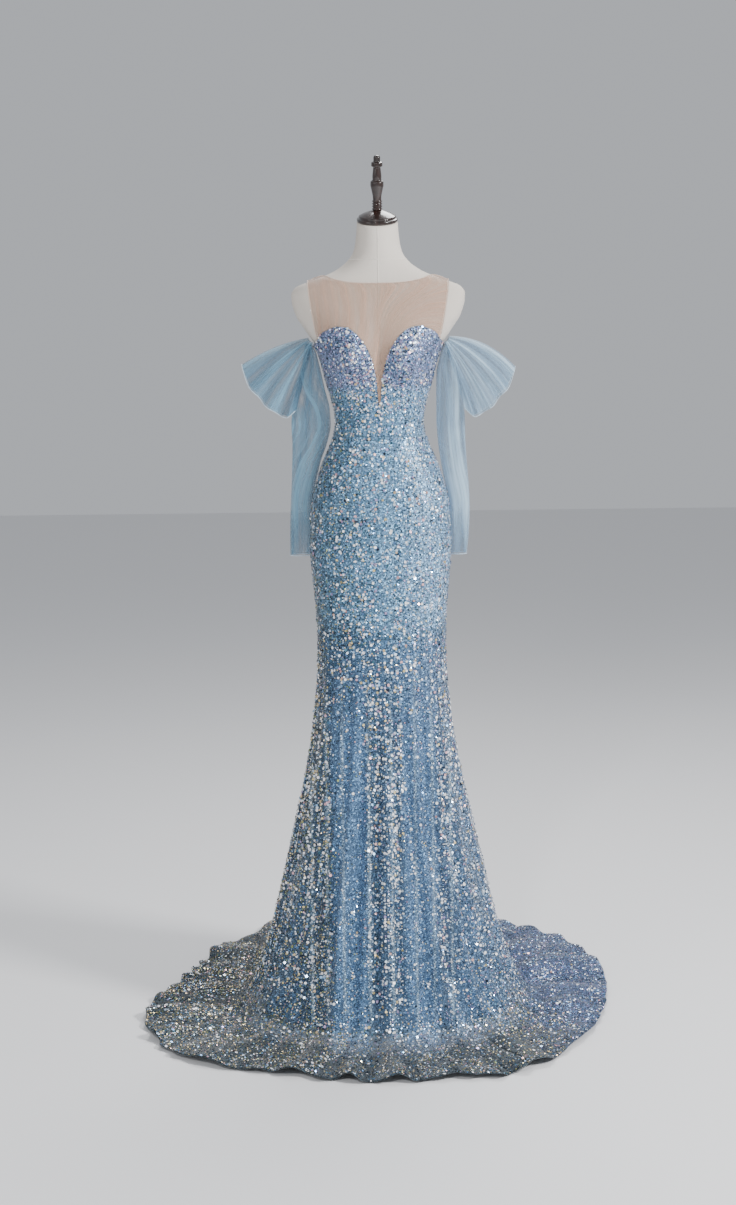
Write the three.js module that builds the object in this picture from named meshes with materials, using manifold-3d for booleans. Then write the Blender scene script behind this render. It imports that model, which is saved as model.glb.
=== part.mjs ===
// An off-shoulder mermaid evening gown with a pooled train, on a limbless dress form.
// Millimetres, +Z up. The wearer's front faces -Y and the wearer's left is +X.
// The origin is the middle of the stand's underside, on the floor.
// Angles go round the figure: 0 is the wearer's left side, 90 the centre back, -90 the centre front.
import * as THREE from 'three';
import { mergeVertices } from 'three/addons/utils/BufferGeometryUtils.js';
import Module from 'manifold-3d';

const wasm = await Module();
wasm.setup();

// Cloth and gaps
const CLOTH = 1.5; // sequinned mesh with its sequins
const TULLE = 1.0; // sleeves, flounces and the nude net
const LINING = 1.0;
const SEAM_GAP = 0.3; // between two pieces that are sewn together
const EASE = 0.8; // between the figure and the cloth on it

// Heights
const WAIST_SEAM = 1303;
const NECK_TOP = 1762;
const NECK_TILT = THREE.MathUtils.degToRad(15); // the neck's cut leans to the front
const NECK_TILT_START = 1665;
const FORM_BOTTOM = 1030;
const FORM_INSET = 2.4; // the form is a little smaller than the figure the gown is cut for
const NECK_INSET = 0.3;
const COVERED_BELOW = 1507; // the bodice hides the form below this
const COVERED_INSET = 5;
const ZIP_BOTTOM = 1165;
const ZIP_TOP = 1637;
const LINING_TOP = 862;
const LINING_HEM = 14;
const FLOOR_BEND = 8; // height of the cloth's outer face where it turns to lie on the floor

// Seams, as angles round the figure
const PRINCESS_SEAM = -54.6;
const SIDE_SEAM = 12;
const CENTRE_FRONT = -90;
const CENTRE_BACK = 90;

// Zip
const ZIP_HALF_WIDTH = 2.5;
const ZIP_THICKNESS = 1.8;
const ZIP_EDGE = ZIP_HALF_WIDTH + SEAM_GAP;

// Horizontal sections of the figure: half width, depth before and behind the axis, roundness
const FIGURE = [
  { z: 1762, half: 44.0, front: 47, back: 45, power: 2.0 },
  { z: 1735, half: 46.0, front: 49, back: 48, power: 2.0 },
  { z: 1711, half: 49.5, front: 51, back: 53, power: 2.0 },
  { z: 1694, half: 55.0, front: 53, back: 58, power: 2.0 },
  { z: 1677, half: 68.0, front: 56, back: 63, power: 2.0 },
  { z: 1660, half: 93.0, front: 59, back: 69, power: 2.1 },
  { z: 1642, half: 138.0, front: 63, back: 75, power: 2.2 },
  { z: 1625, half: 181.0, front: 67, back: 80, power: 2.3 },
  { z: 1608, half: 191.0, front: 71, back: 84, power: 2.4 },
  { z: 1591, half: 190.0, front: 75, back: 88, power: 2.4 },
  { z: 1574, half: 185.5, front: 80, back: 91, power: 2.4 },
  { z: 1556, half: 178.5, front: 84, back: 93, power: 2.3 },
  { z: 1539, half: 167.0, front: 87, back: 94, power: 2.3 },
  { z: 1522, half: 156.0, front: 89, back: 94, power: 2.3 },
  { z: 1505, half: 144.0, front: 90, back: 93, power: 2.3 },
  { z: 1487, half: 133.0, front: 90, back: 91, power: 2.2 },
  { z: 1466, half: 125.0, front: 88, back: 88, power: 2.2 },
  { z: 1444, half: 119.5, front: 86, back: 85, power: 2.2 },
  { z: 1418, half: 113.0, front: 84, back: 82, power: 2.2 },
  { z: 1383, half: 102.5, front: 82, back: 80, power: 2.2 },
  { z: 1349, half: 95.0, front: 80, back: 78, power: 2.1 },
  { z: 1331, half: 94.0, front: 79.5, back: 78, power: 2.1 },
  { z: 1314, half: 96.0, front: 80, back: 79, power: 2.1 },
  { z: 1297, half: 100.5, front: 81, back: 81, power: 2.1 },
  { z: 1273, half: 109.5, front: 84, back: 86, power: 2.1 },
  { z: 1236, half: 126.0, front: 89, back: 96, power: 2.1 },
  { z: 1200, half: 136.5, front: 93, back: 107, power: 2.1 },
  { z: 1163, half: 147.0, front: 96, back: 115, power: 2.1 },
  { z: 1127, half: 150.0, front: 98, back: 119, power: 2.1 },
  { z: 1089, half: 151.5, front: 99, back: 119, power: 2.1 },
  { z: 1050, half: 153.0, front: 100, back: 117, power: 2.1 },
  { z: 1030, half: 151.0, front: 100, back: 116, power: 2.1 },
];

// The cups: one smooth swelling on each side of the centre front
const CUP = { apart: 66, height: 1464, rise: 40, wide: 36, above: 44, below: 31 };

// Horizontal sections of the standing skirt's outer face, and the height of its folds there
const SKIRT = [
  { z: 1050, half: 155.3, front: 102.3, back: 119.3, power: 2.1, fold: 0 },
  { z: 1000, half: 151.5, front: 101.5, back: 118.0, power: 2.1, fold: 0 },
  { z: 945, half: 146.0, front: 102.5, back: 117.5, power: 2.1, fold: 0 },
  { z: 890, half: 142.5, front: 105, back: 119, power: 2.1, fold: 0.6 },
  { z: 835, half: 141.5, front: 108, back: 123, power: 2.1, fold: 1.6 },
  { z: 780, half: 142.0, front: 112, back: 129, power: 2.1, fold: 3 },
  { z: 720, half: 146.0, front: 117, back: 137, power: 2.05, fold: 4.5 },
  { z: 660, half: 151.5, front: 123, back: 147, power: 2.05, fold: 6 },
  { z: 600, half: 159.0, front: 130, back: 159, power: 2.05, fold: 8 },
  { z: 540, half: 168.5, front: 138, back: 173, power: 2, fold: 10 },
  { z: 480, half: 180.0, front: 147, back: 189, power: 2, fold: 12 },
  { z: 420, half: 192.0, front: 156, back: 206, power: 2, fold: 14 },
  { z: 360, half: 204.5, front: 166, back: 225, power: 2, fold: 15.5 },
  { z: 300, half: 218.0, front: 176, back: 246, power: 2, fold: 16.5 },
  { z: 240, half: 232.0, front: 187, back: 270, power: 2, fold: 17 },
  { z: 180, half: 248.0, front: 199, back: 298, power: 2, fold: 17 },
  { z: 120, half: 269.0, front: 212, back: 331, power: 2, fold: 17 },
  { z: 80, half: 287.0, front: 222, back: 357, power: 2, fold: 14 },
  { z: 45, half: 309.0, front: 234, back: 384, power: 2, fold: 12 },
  { z: 20, half: 331.0, front: 246, back: 408, power: 2, fold: 9 },
  { z: 8, half: 352.0, front: 258, back: 430, power: 2, fold: 6 },
];

// The hem on the floor, as a distance from the axis at each angle
const HEM = [
  { angle: -180, reach: 540 },
  { angle: -164, reach: 548 },
  { angle: -149, reach: 548 },
  { angle: -137, reach: 528 },
  { angle: -122, reach: 484 },
  { angle: -106, reach: 470 },
  { angle: -90, reach: 474 },
  { angle: -74, reach: 474 },
  { angle: -62, reach: 506 },
  { angle: -48, reach: 503 },
  { angle: -34, reach: 486 },
  { angle: -16, reach: 488 },
  { angle: 2, reach: 506 },
  { angle: 18, reach: 548 },
  { angle: 34, reach: 608 },
  { angle: 50, reach: 656 },
  { angle: 70, reach: 682 },
  { angle: 90, reach: 692 },
  { angle: 110, reach: 672 },
  { angle: 128, reach: 606 },
  { angle: 142, reach: 552 },
  { angle: 158, reach: 508 },
  { angle: 180, reach: 540 },
];
const HEM_WAVES = 47;
const HEM_WAVE_REACH = 8;
const HEM_WAVE_LIFT = 5;
const FLOOR_RIPPLE = { start: 13, hem: 7 }; // height of the folds that run out over the floor

const FLOOR_SETTLE = 2.5; // how soon the cloth beside the folds comes down to the floor

// Folds of the flared skirt: where each ridge is, how wide it is and how high beside the others
const FOLDS = [
  { angle: -172, width: 8, height: 0.9 },
  { angle: -158, width: 7, height: 0.7 },
  { angle: -146, width: 6, height: 1.1 },
  { angle: -134, width: 6, height: 0.7 },
  { angle: -123, width: 5, height: 0.8 },
  { angle: -112, width: 5, height: 1.5 },
  { angle: -100, width: 5, height: 0.6 },
  { angle: -89, width: 5, height: 1.1 },
  { angle: -78, width: 5, height: 0.8 },
  { angle: -66, width: 5, height: 1.3 },
  { angle: -50, width: 6, height: 1.4 },
  { angle: -37, width: 6, height: 0.8 },
  { angle: -24, width: 7, height: 1.0 },
  { angle: -9, width: 8, height: 0.8 },
  { angle: 8, width: 8, height: 1.0 },
  { angle: 26, width: 9, height: 1.2 },
  { angle: 45, width: 9, height: 0.8 },
  { angle: 63, width: 8, height: 1.3 },
  { angle: 81, width: 8, height: 0.8 },
  { angle: 98, width: 8, height: 1.1 },
  { angle: 116, width: 9, height: 0.8 },
  { angle: 134, width: 8, height: 1.3 },
  { angle: 151, width: 7, height: 0.9 },
  { angle: 165, width: 7, height: 1.1 },
];
const FOLD_VALLEY = 0.35; // how far the cloth between two ridges sinks, beside a ridge of height 1

// Loose swellings of the train where it lies on the floor
const MOUNDS = [
  { angle: -4, width: 18, lift: 24, spread: 0.3 },
  { angle: 34, width: 20, lift: 28, spread: 0.4 },
  { angle: 66, width: 16, lift: 18, spread: 0.5 },
  { angle: 112, width: 18, lift: 20, spread: 0.5 },
  { angle: 146, width: 15, lift: 22, spread: 0.4 },
  { angle: -172, width: 10, lift: 14, spread: 0.5 },
  { angle: -140, width: 8, lift: 9, spread: 0.5 },
  { angle: -44, width: 12, lift: 10, spread: 0.5 },
];
const MOUND_LENGTH = 0.35; // as a share of the way to the hem

// Rows of the skirt's gores: standing rows by height, then rows on the floor by their share of the way to the
// hem. Each group has twice as many columns as the one before.
const ROW_GROUPS = [
  { heights: [1303, 1255, 1210, 1165, 1105, 1045, 950, 850], spreads: [] },
  { heights: [740, 620, 500, 380, 260, 150, 60], spreads: [0, 0.25, 0.52] },
  { heights: [], spreads: [0.8, 1] },
];

// The sweetheart edge from the bottom of the centre-front notch to the princess seam
const SWEETHEART = [
  { x: 0, z: 1370 },
  { x: 2.9, z: 1378 },
  { x: 4.4, z: 1397.5 },
  { x: 6.2, z: 1419 },
  { x: 9.8, z: 1440 },
  { x: 13.5, z: 1456 },
  { x: 18.5, z: 1473 },
  { x: 26, z: 1490 },
  { x: 36, z: 1507 },
  { x: 50, z: 1524 },
  { x: 67, z: 1535 },
  { x: 86, z: 1538.5 },
];
// The bodice's top edge from the princess seam round under the arm to the centre back
const TOP_EDGE = [
  { angle: PRINCESS_SEAM, z: 1534.5 },
  { angle: -43.7, z: 1526 },
  { angle: -30.4, z: 1511 },
  { angle: -15, z: 1503 },
  { angle: 0, z: 1500 },
  { angle: 28.3, z: 1499 },
  { angle: 55, z: 1490 },
  { angle: 90, z: 1480 },
];

// Columns of the bodice's side and back panels. The yoke's side columns stand on them.
const SIDE_COLUMNS = [PRINCESS_SEAM, -43.7, -30.4, -19, -8, 2, SIDE_SEAM];
const BACK_COLUMNS = [SIDE_SEAM, 20, 28.3, 37, 47, 57, 68, 79, CENTRE_BACK];
const ARMHOLE_BACK_COLUMN = 28.3;
const BODICE_ROWS = 6;

// The nude net yoke
const YOKE_ROWS = 7;
const YOKE_SEAM = 0.6; // its seam on the bodice stands a little open
const NOTCH_SEAM = { points: 8, across: 0.7, up: 0.3 }; // wider where the sweetheart edge is steep
const EDGE_SEAM = 0.2;
const NOTCH_TIP_LIFT = 1.2;
const YOKE_ROW_CROWDING = 1.9; // the rows lie closer together towards the shoulder
const ARMHOLE_TOP = 1645;
const SHOULDER_ROUND = 30; // radius of the shoulder where the yoke turns over it
const NECKLINE_FRONT = 1630;
const NECKLINE_BACK = 1637;
const NECKLINE_SIDE = { x: 121, z: 1648.5 };
const ARMHOLE_FRONT = [
  { z: 1505, x: 130 },
  { z: 1560, x: 141 },
  { z: 1610, x: 149 },
  { z: 1640, x: 152 },
];
const ARMHOLE_BACK = [
  { z: 1495, x: 127 },
  { z: 1560, x: 138 },
  { z: 1610, x: 148 },
  { z: 1640, x: 152 },
];

// Long sleeves, from the gathered top to the cuff: inner and outer edge, middle and half of the depth
const SLEEVE_RIGHT = [
  { z: 1502.6, inner: 146.4, outer: 161, middle: 0, depth: 30 },
  { z: 1486, inner: 136.4, outer: 163, middle: 0, depth: 31 },
  { z: 1466, inner: 131, outer: 167, middle: 0, depth: 29 },
  { z: 1440, inner: 125, outer: 173, middle: -1, depth: 24 },
  { z: 1400, inner: 117, outer: 183, middle: -2, depth: 20 },
  { z: 1362, inner: 107.5, outer: 191, middle: -1, depth: 18 },
  { z: 1325, inner: 104.5, outer: 194, middle: 2, depth: 18 },
  { z: 1285, inner: 113.5, outer: 193, middle: 11, depth: 19 },
  { z: 1236, inner: 131, outer: 195, middle: 21, depth: 20 },
  { z: 1140, inner: 149, outer: 200, middle: 40, depth: 21 },
  { z: 1085, inner: 149.5, outer: 201.5, middle: 43, depth: 21 },
  { z: 1035, inner: 150, outer: 202.5, middle: 44, depth: 22 },
];
const SLEEVE_LEFT = [
  { z: 1502.6, inner: 146.4, outer: 160, middle: 0, depth: 30 },
  { z: 1486, inner: 136.4, outer: 162, middle: 0, depth: 31 },
  { z: 1466, inner: 131, outer: 166, middle: 0, depth: 29 },
  { z: 1440, inner: 125, outer: 172, middle: -1, depth: 24 },
  { z: 1400, inner: 123.5, outer: 181, middle: -2, depth: 20 },
  { z: 1338, inner: 123.5, outer: 188, middle: 2, depth: 18 },
  { z: 1290, inner: 127, outer: 190, middle: 9, depth: 19 },
  { z: 1236, inner: 134.5, outer: 194, middle: 21, depth: 20 },
  { z: 1140, inner: 149, outer: 199.5, middle: 40, depth: 21 },
  { z: 1085, inner: 149.5, outer: 198, middle: 43, depth: 21 },
  { z: 1035, inner: 150, outer: 193, middle: 44, depth: 22 },
];
const SLEEVE_COLUMNS = 16;
const SLEEVE_CREASES = 4;
const SLEEVE_CREASE_SHARE = 0.09;

// Short flounces over the sleeves' tops: two layers that fall from one ridge
const FLOUNCE_RIGHT = { x: 140, z: 1517.4, ridgeStart: 8, ridgeEnd: 20, lowest: 75, scale: 1 };
const FLOUNCE_LEFT = { x: 140, z: 1515.4, ridgeStart: -2, ridgeEnd: 23, lowest: 73, scale: 1.01 };
const FLOUNCE_START = 13;
const FLOUNCE_REACH = [
  { share: 0, reach: 168 },
  { share: 0.22, reach: 177 },
  { share: 0.45, reach: 178 },
  { share: 0.7, reach: 184 },
  { share: 0.9, reach: 184 },
  { share: 1, reach: 166 },
];
const FLOUNCE_DEPTH = [
  { share: 0, depth: 32.6 },
  { share: 0.5, depth: 45 },
  { share: 1, depth: 40 },
];
const FLOUNCE_FOLDS = 3.5; // on each layer
const FLOUNCE_FOLD_HEIGHT = 6;
const FLOUNCE_HEM_WAVE = 1.2;
const FLOUNCE_COLUMNS = 26;
const FLOUNCE_ROWS = 6;

// The lining: rows, the room between it and the skirt and the height of its waves
const LINING_HEIGHTS = [LINING_TOP, 770, 640, 500, 350, 200, 90, LINING_HEM];
const LINING_COLUMNS = 28;
const LINING_SEAM = 0.9;
const LINING_CLEAR = { above: 6, below: 22, over: 500, atFloor: 30 };
const LINING_WAVE = 4;

// The dress form's turned cap and finial: radius and height above the neck's cut
const CAP_GAP = 0.3;
const CAP = [
  { r: 42.5, h: 0 }, { r: 44.5, h: 3 }, { r: 44, h: 7 }, { r: 40.5, h: 9 }, { r: 40.5, h: 12 },
  { r: 34, h: 16 }, { r: 25, h: 20 }, { r: 15, h: 23.5 }, { r: 11.5, h: 25 },
];
const BEADS = { count: 4, radius: 11.3, neck: 9.2, pitch: 5.5, start: 25.3 };
const FINIAL = [
  { r: 9.5, h: 54 }, { r: 12.8, h: 71 }, { r: 14.5, h: 79 }, { r: 14.2, h: 86 }, { r: 9.7, h: 91 },
  { r: 10, h: 98 }, { r: 8, h: 117 }, { r: 12.3, h: 120 }, { r: 12, h: 127 }, { r: 7.4, h: 130 },
  { r: 7.4, h: 138 }, { r: 5, h: 142 },
];
const TURNED_SIDES = 14;

// The stand
const BASE = { radius: 145, edge: 8, crown: 14, collarRadius: 27, height: 34 };
const POLE_RADIUS = 16;

const COLOURS = {
  sequins: { color: 0x8fa9c4, roughness: 0.35, metalness: 0.35 },
  tulle: { color: 0x7fa3c0, roughness: 0.8, metalness: 0 },
  net: { color: 0xcdb3a2, roughness: 0.8, metalness: 0 },
  lining: { color: 0x6f9cc6, roughness: 0.6, metalness: 0 },
  linen: { color: 0xddd5ca, roughness: 0.85, metalness: 0 },
  wood: { color: 0x2a120c, roughness: 0.25, metalness: 0 },
  metal: { color: 0xb9bcc0, roughness: 0.35, metalness: 0.9 },
  enamel: { color: 0x26262a, roughness: 0.45, metalness: 0.6 },
  zip: { color: 0x8aa3bd, roughness: 0.6, metalness: 0 },
};

const radians = THREE.MathUtils.degToRad;
const lerp = THREE.MathUtils.lerp;

// A smooth line through a table's rows that never overshoots them. The rows run up or down by the key.
function readTable(rows, key, column, at) {
  const ordered = rows[0][key] <= rows[rows.length - 1][key] ? rows : [...rows].reverse();
  const last = ordered.length - 1;
  if (at <= ordered[0][key]) return ordered[0][column];
  if (at >= ordered[last][key]) return ordered[last][column];
  let i = 0;
  while (at > ordered[i + 1][key]) i += 1;
  const step = (k) => ordered[k + 1][key] - ordered[k][key];
  const slope = (k) => (ordered[k + 1][column] - ordered[k][column]) / step(k);
  const tangent = (k) => {
    if (k === 0) return slope(0);
    if (k === last) return slope(last - 1);
    const before = slope(k - 1);
    const after = slope(k);
    return before * after <= 0 ? 0 : (2 * before * after) / (before + after);
  };
  const h = step(i);
  const s = (at - ordered[i][key]) / h;
  const s2 = s * s;
  const s3 = s2 * s;
  return (2 * s3 - 3 * s2 + 1) * ordered[i][column] + (s3 - 2 * s2 + s) * h * tangent(i)
    + (3 * s2 - 2 * s3) * ordered[i + 1][column] + (s3 - s2) * h * tangent(i + 1);
}

const signedPower = (value, exponent) => Math.sign(value) * Math.abs(value) ** exponent;

// A point of an oval section: half, front and back are its half axes
function ovalPoint({ half, front, back, power }, angle) {
  const c = Math.cos(radians(angle));
  const s = Math.sin(radians(angle));
  return {
    x: half * signedPower(c, 2 / power),
    y: (s < 0 ? front : back) * signedPower(s, 2 / power),
  };
}

// The angle at which an oval section has a given distance from the middle line, on its front or its back
function angleOfX(half, power, x, side) {
  const share = Math.min(1, Math.abs(x) / half);
  const angle = THREE.MathUtils.radToDeg(Math.acos(share ** (power / 2)));
  return side * (x < 0 ? 180 - angle : angle);
}

function section(rows, z, columns) {
  return Object.fromEntries(columns.map((column) => [column, readTable(rows, 'z', column, z)]));
}
const figureSection = (z) => section(FIGURE, z, ['half', 'front', 'back', 'power']);
const skirtSection = (z) => section(SKIRT, z, ['half', 'front', 'back', 'power', 'fold']);

const bell = (distance, width) => Math.exp(-0.5 * (distance / width) ** 2);

// The figure that the gown is cut for: an oval section at each height, with the cups added in front
function figurePoint(angle, z) {
  const { x, y } = ovalPoint(figureSection(z), angle);
  const front = Math.max(0, -Math.sin(radians(angle)));
  const cup = CUP.rise * bell(Math.abs(x) - CUP.apart, CUP.wide)
    * bell(z - CUP.height, z > CUP.height ? CUP.above : CUP.below);
  const tilt = THREE.MathUtils.smoothstep(z, NECK_TILT_START, NECK_TOP) * Math.tan(NECK_TILT);
  return new THREE.Vector3(x, y - cup * Math.sqrt(front), z + y * tilt);
}

function figureNormal(angle, z) {
  const round = figurePoint(angle + 0.5, z).sub(figurePoint(angle - 0.5, z));
  const up = figurePoint(angle, z + 0.5).sub(figurePoint(angle, z - 0.5));
  return round.cross(up).normalize();
}

function offFigure(angle, z, distance) {
  return figurePoint(angle, z).addScaledVector(figureNormal(angle, z), distance);
}

// Height of the skirt's folds at an angle, beside a ridge of height 1
function foldShape(angle) {
  let shape = -FOLD_VALLEY;
  for (const fold of FOLDS) {
    const away = ((angle - fold.angle + 540) % 360) - 180;
    shape += (fold.height + FOLD_VALLEY) * bell(away, fold.width * 0.55);
  }
  return shape;
}

const wrapAngle = (angle) => ((angle + 540) % 360) - 180;

function hemPoint(angle) {
  const uneven = 0.6 + 0.4 * Math.cos(radians(7 * angle + 40));
  const wave = uneven * Math.cos(radians(HEM_WAVES * angle) + 1.5 * Math.sin(radians(5 * angle)));
  const reach = readTable(HEM, 'angle', 'reach', wrapAngle(angle)) + HEM_WAVE_REACH * wave;
  return { x: reach * Math.cos(radians(angle)), y: reach * Math.sin(radians(angle)), wave };
}

// The skirt's outer face at an angle, on a standing row or on a row that lies on the floor
function skirtPoint(angle, { z, spread }) {
  const ring = z >= SKIRT[0].z ? { ...figureSection(z), fold: 0 } : skirtSection(z);
  if (z >= SKIRT[0].z) {
    ring.half += EASE + CLOTH;
    ring.front += EASE + CLOTH;
    ring.back += EASE + CLOTH;
  }
  const shape = foldShape(angle);
  const at = ovalPoint(ring, angle);
  const outward = new THREE.Vector2(at.x, at.y).normalize();
  const standing = THREE.MathUtils.smoothstep(z, 0, 70);
  const push = ring.fold * shape * standing;
  const lie = new THREE.Vector3(at.x + outward.x * push, at.y + outward.y * push, z);
  const lift = (1 - standing) * ring.fold * Math.max(0, shape);
  if (spread === 0) return lie.setZ(z + lift);
  const hem = hemPoint(angle);
  const across = Math.sin(Math.PI * Math.min(1, spread));
  let mound = 0;
  for (const row of MOUNDS) {
    const around = bell(wrapAngle(angle - row.angle), row.width * 0.6);
    mound += row.lift * across * around * bell(spread - row.spread, MOUND_LENGTH);
  }
  const ridge = lerp(FLOOR_RIPPLE.start, FLOOR_RIPPLE.hem, spread) * Math.max(0, shape);
  const ripple = ridge + HEM_WAVE_LIFT * (1 + hem.wave) * spread ** 3;
  return new THREE.Vector3(
    lerp(lie.x, hem.x, spread),
    lerp(lie.y, hem.y, spread),
    lerp(z, CLOTH, Math.min(1, spread * FLOOR_SETTLE)) + ripple + mound,
  );
}

// A thin wall between an outer and an inner grid of points. Each row has as many points as the one before or
// one more for each space between them. An open wall has two side edges, a closed one none.
function wallGeometry(rows, closed) {
  const positions = [];
  const starts = { outer: [], inner: [] };
  for (const row of rows) {
    for (const side of ['outer', 'inner']) {
      starts[side].push(positions.length / 3);
      for (const point of row[side]) positions.push(point.x, point.y, point.z);
    }
  }
  const faces = [];
  const quad = (a, b, c, d) => faces.push(a, b, c, a, c, d);
  rows.forEach((row, k) => {
    const count = row.outer.length;
    const at = (side, i, level = k) => starts[side][level] + (i % rows[level].outer.length);
    const cells = closed ? count : count - 1;
    for (let i = 0; i < cells; i += 1) {
      if (k === 0) quad(at('outer', i + 1), at('outer', i), at('inner', i), at('inner', i + 1));
      else if (k === rows.length - 1) {
        quad(at('outer', i), at('outer', i + 1), at('inner', i + 1), at('inner', i));
      }
    }
    if (k === rows.length - 1) return;
    const below = rows[k + 1].outer.length;
    const doubled = closed ? below === 2 * count : below === 2 * count - 1;
    for (let i = 0; i < cells; i += 1) {
      for (const side of ['outer', 'inner']) {
        const add = side === 'outer' ? (a, b, c) => faces.push(a, b, c) : (a, b, c) => faces.push(a, c, b);
        const left = at(side, i);
        const right = at(side, i + 1);
        if (doubled) {
          const low = [0, 1, 2].map((n) => at(side, 2 * i + n, k + 1));
          add(left, low[1], low[0]);
          add(left, right, low[1]);
          add(right, low[2], low[1]);
        } else {
          const lowLeft = at(side, i, k + 1);
          const lowRight = at(side, i + 1, k + 1);
          add(left, right, lowRight);
          add(left, lowRight, lowLeft);
        }
      }
    }
    if (!closed) {
      const ends = [[0, 0], [count - 1, below - 1]];
      ends.forEach(([i, j], n) => {
        const { outer, inner } = starts;
        const corners = [outer[k] + i, outer[k + 1] + j, inner[k + 1] + j, inner[k] + i];
        quad(...(n === 0 ? corners : corners.reverse()));
      });
    }
  });
  const geometry = new THREE.BufferGeometry();
  geometry.setAttribute('position', new THREE.Float32BufferAttribute(positions, 3));
  geometry.setIndex(faces);
  return faceOutwards(geometry);
}

// Six times the volume inside a closed mesh, below nought if its faces point in
function signedVolume(geometry) {
  const corner = [new THREE.Vector3(), new THREE.Vector3(), new THREE.Vector3()];
  const { position } = geometry.attributes;
  let sum = 0;
  for (let i = 0; i < geometry.index.count; i += 3) {
    corner.forEach((point, n) => point.fromBufferAttribute(position, geometry.index.getX(i + n)));
    sum += corner[0].dot(corner[1].clone().cross(corner[2]));
  }
  return sum;
}

function faceOutwards(geometry) {
  if (signedVolume(geometry) < 0) {
    const { array } = geometry.index;
    for (let i = 0; i < array.length; i += 3) [array[i + 1], array[i + 2]] = [array[i + 2], array[i + 1]];
  }
  return geometry;
}

// A solid through rings of points, with a flat or shallow fan at each end
function loftGeometry(rings) {
  const positions = [];
  const count = rings[0].length;
  for (const ring of rings) for (const point of ring) positions.push(point.x, point.y, point.z);
  const faces = [];
  for (let k = 0; k + 1 < rings.length; k += 1) {
    for (let i = 0; i < count; i += 1) {
      const a = k * count + i;
      const b = k * count + ((i + 1) % count);
      faces.push(a, b, b + count, a, b + count, a + count);
    }
  }
  [[0, true], [rings.length - 1, false]].forEach(([k, first]) => {
    const middle = new THREE.Vector3();
    rings[k].forEach((point) => middle.addScaledVector(point, 1 / count));
    const centre = positions.length / 3;
    positions.push(middle.x, middle.y, middle.z);
    for (let i = 0; i < count; i += 1) {
      const a = k * count + i;
      const b = k * count + ((i + 1) % count);
      faces.push(...(first ? [b, a, centre] : [a, b, centre]));
    }
  });
  const geometry = new THREE.BufferGeometry();
  geometry.setAttribute('position', new THREE.Float32BufferAttribute(positions, 3));
  geometry.setIndex(faces);
  return faceOutwards(geometry);
}

const gown = new THREE.Group();

function addMesh(name, geometry, colour, parent = gown) {
  const mesh = new THREE.Mesh(geometry, new THREE.MeshStandardMaterial(COLOURS[colour]));
  mesh.name = name;
  parent.add(mesh);
  return mesh;
}

const countUp = (count) => Array.from({ length: count + 1 }, (_, i) => i / count);

// The angle that lies a given distance from a seam, measured round an oval section
function besideSeam(seam, direction, oval, distance) {
  if (seam === CENTRE_BACK || seam === CENTRE_FRONT) {
    const side = seam === CENTRE_BACK ? 1 : -1;
    return angleOfX(oval.half, oval.power, -direction * side * distance, side);
  }
  const before = ovalPoint(oval, seam - 0.5);
  const after = ovalPoint(oval, seam + 0.5);
  return seam + (direction * distance) / Math.hypot(after.x - before.x, after.y - before.y);
}

// The angles of a gore's columns: its two seams and each fold's ridge and each valley between them
function goreAngles(from, to) {
  const ridges = FOLDS.map(({ angle }) => angle);
  const valleys = ridges.map((angle, i) => (i + 1 < ridges.length ? (angle + ridges[i + 1]) / 2
    : (angle + ridges[0] + 360) / 2));
  const inside = [...ridges, ...valleys].flatMap((angle) => [angle, angle + 360])
    .filter((angle) => angle > from + 2.5 && angle < to - 2.5);
  return [from, ...inside.sort((a, b) => a - b), to];
}

function between(values, doublings) {
  if (doublings === 0) return values;
  const halved = values.flatMap((value, i) => (i === 0 ? [value] : [(values[i - 1] + value) / 2, value]));
  return between(halved, doublings - 1);
}

// One gore of the skirt between two seams
function addGore(name, from, to) {
  const rows = ROW_GROUPS.flatMap(({ heights, spreads }, doublings) => [
    ...heights.map((z) => ({ z, spread: 0, doublings })),
    ...spreads.map((spread) => ({ z: FLOOR_BEND, spread, doublings })),
  ]);
  const angles = goreAngles(from, to);
  const levels = rows.map((row, k) => {
    const oval = row.z >= SKIRT[0].z ? figureSection(row.z) : skirtSection(row.z);
    const beside = (seam) => (seam === CENTRE_BACK && row.z >= ZIP_BOTTOM ? ZIP_EDGE : SEAM_GAP / 2);
    const trimmed = [...angles];
    trimmed[0] = besideSeam(from, 1, oval, beside(from));
    trimmed[trimmed.length - 1] = besideSeam(to, -1, oval, beside(to));
    const outer = [];
    const inner = [];
    const above = rows[Math.max(0, k - 1)];
    const below = rows[Math.min(rows.length - 1, k + 1)];
    for (const angle of between(trimmed, row.doublings)) {
      const point = skirtPoint(angle, row);
      if (k === 0) point.z -= SEAM_GAP / 2;
      const round = skirtPoint(angle + 1.2, row).sub(skirtPoint(angle - 1.2, row));
      const down = skirtPoint(angle, below).sub(skirtPoint(angle, above));
      const normal = down.cross(round).normalize();
      const back = point.clone().addScaledVector(normal, -CLOTH);
      if (row.spread > 0) back.set(point.x, point.y, point.z - CLOTH);
      back.z = k === 0 ? point.z : Math.max(0, back.z);
      outer.push(point);
      inner.push(back);
    }
    return { outer, inner };
  });
  addMesh(name, wallGeometry(levels, false), 'sequins');
}

// A bodice panel: its columns are angles, and its rows climb from the waist seam to the top edge
function addBodicePanel(name, angles, topAt) {
  const levels = countUp(BODICE_ROWS).map((v) => {
    const outer = [];
    const inner = [];
    angles.forEach((column) => {
      const top = topAt(column);
      const z = lerp(WAIST_SEAM + SEAM_GAP / 2, top, v);
      const angle = column.at(z);
      outer.push(offFigure(angle, z, EASE + CLOTH).setZ(z));
      inner.push(offFigure(angle, z, EASE).setZ(z));
    });
    return { outer, inner };
  });
  addMesh(name, wallGeometry(levels, false), 'sequins');
}

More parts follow.
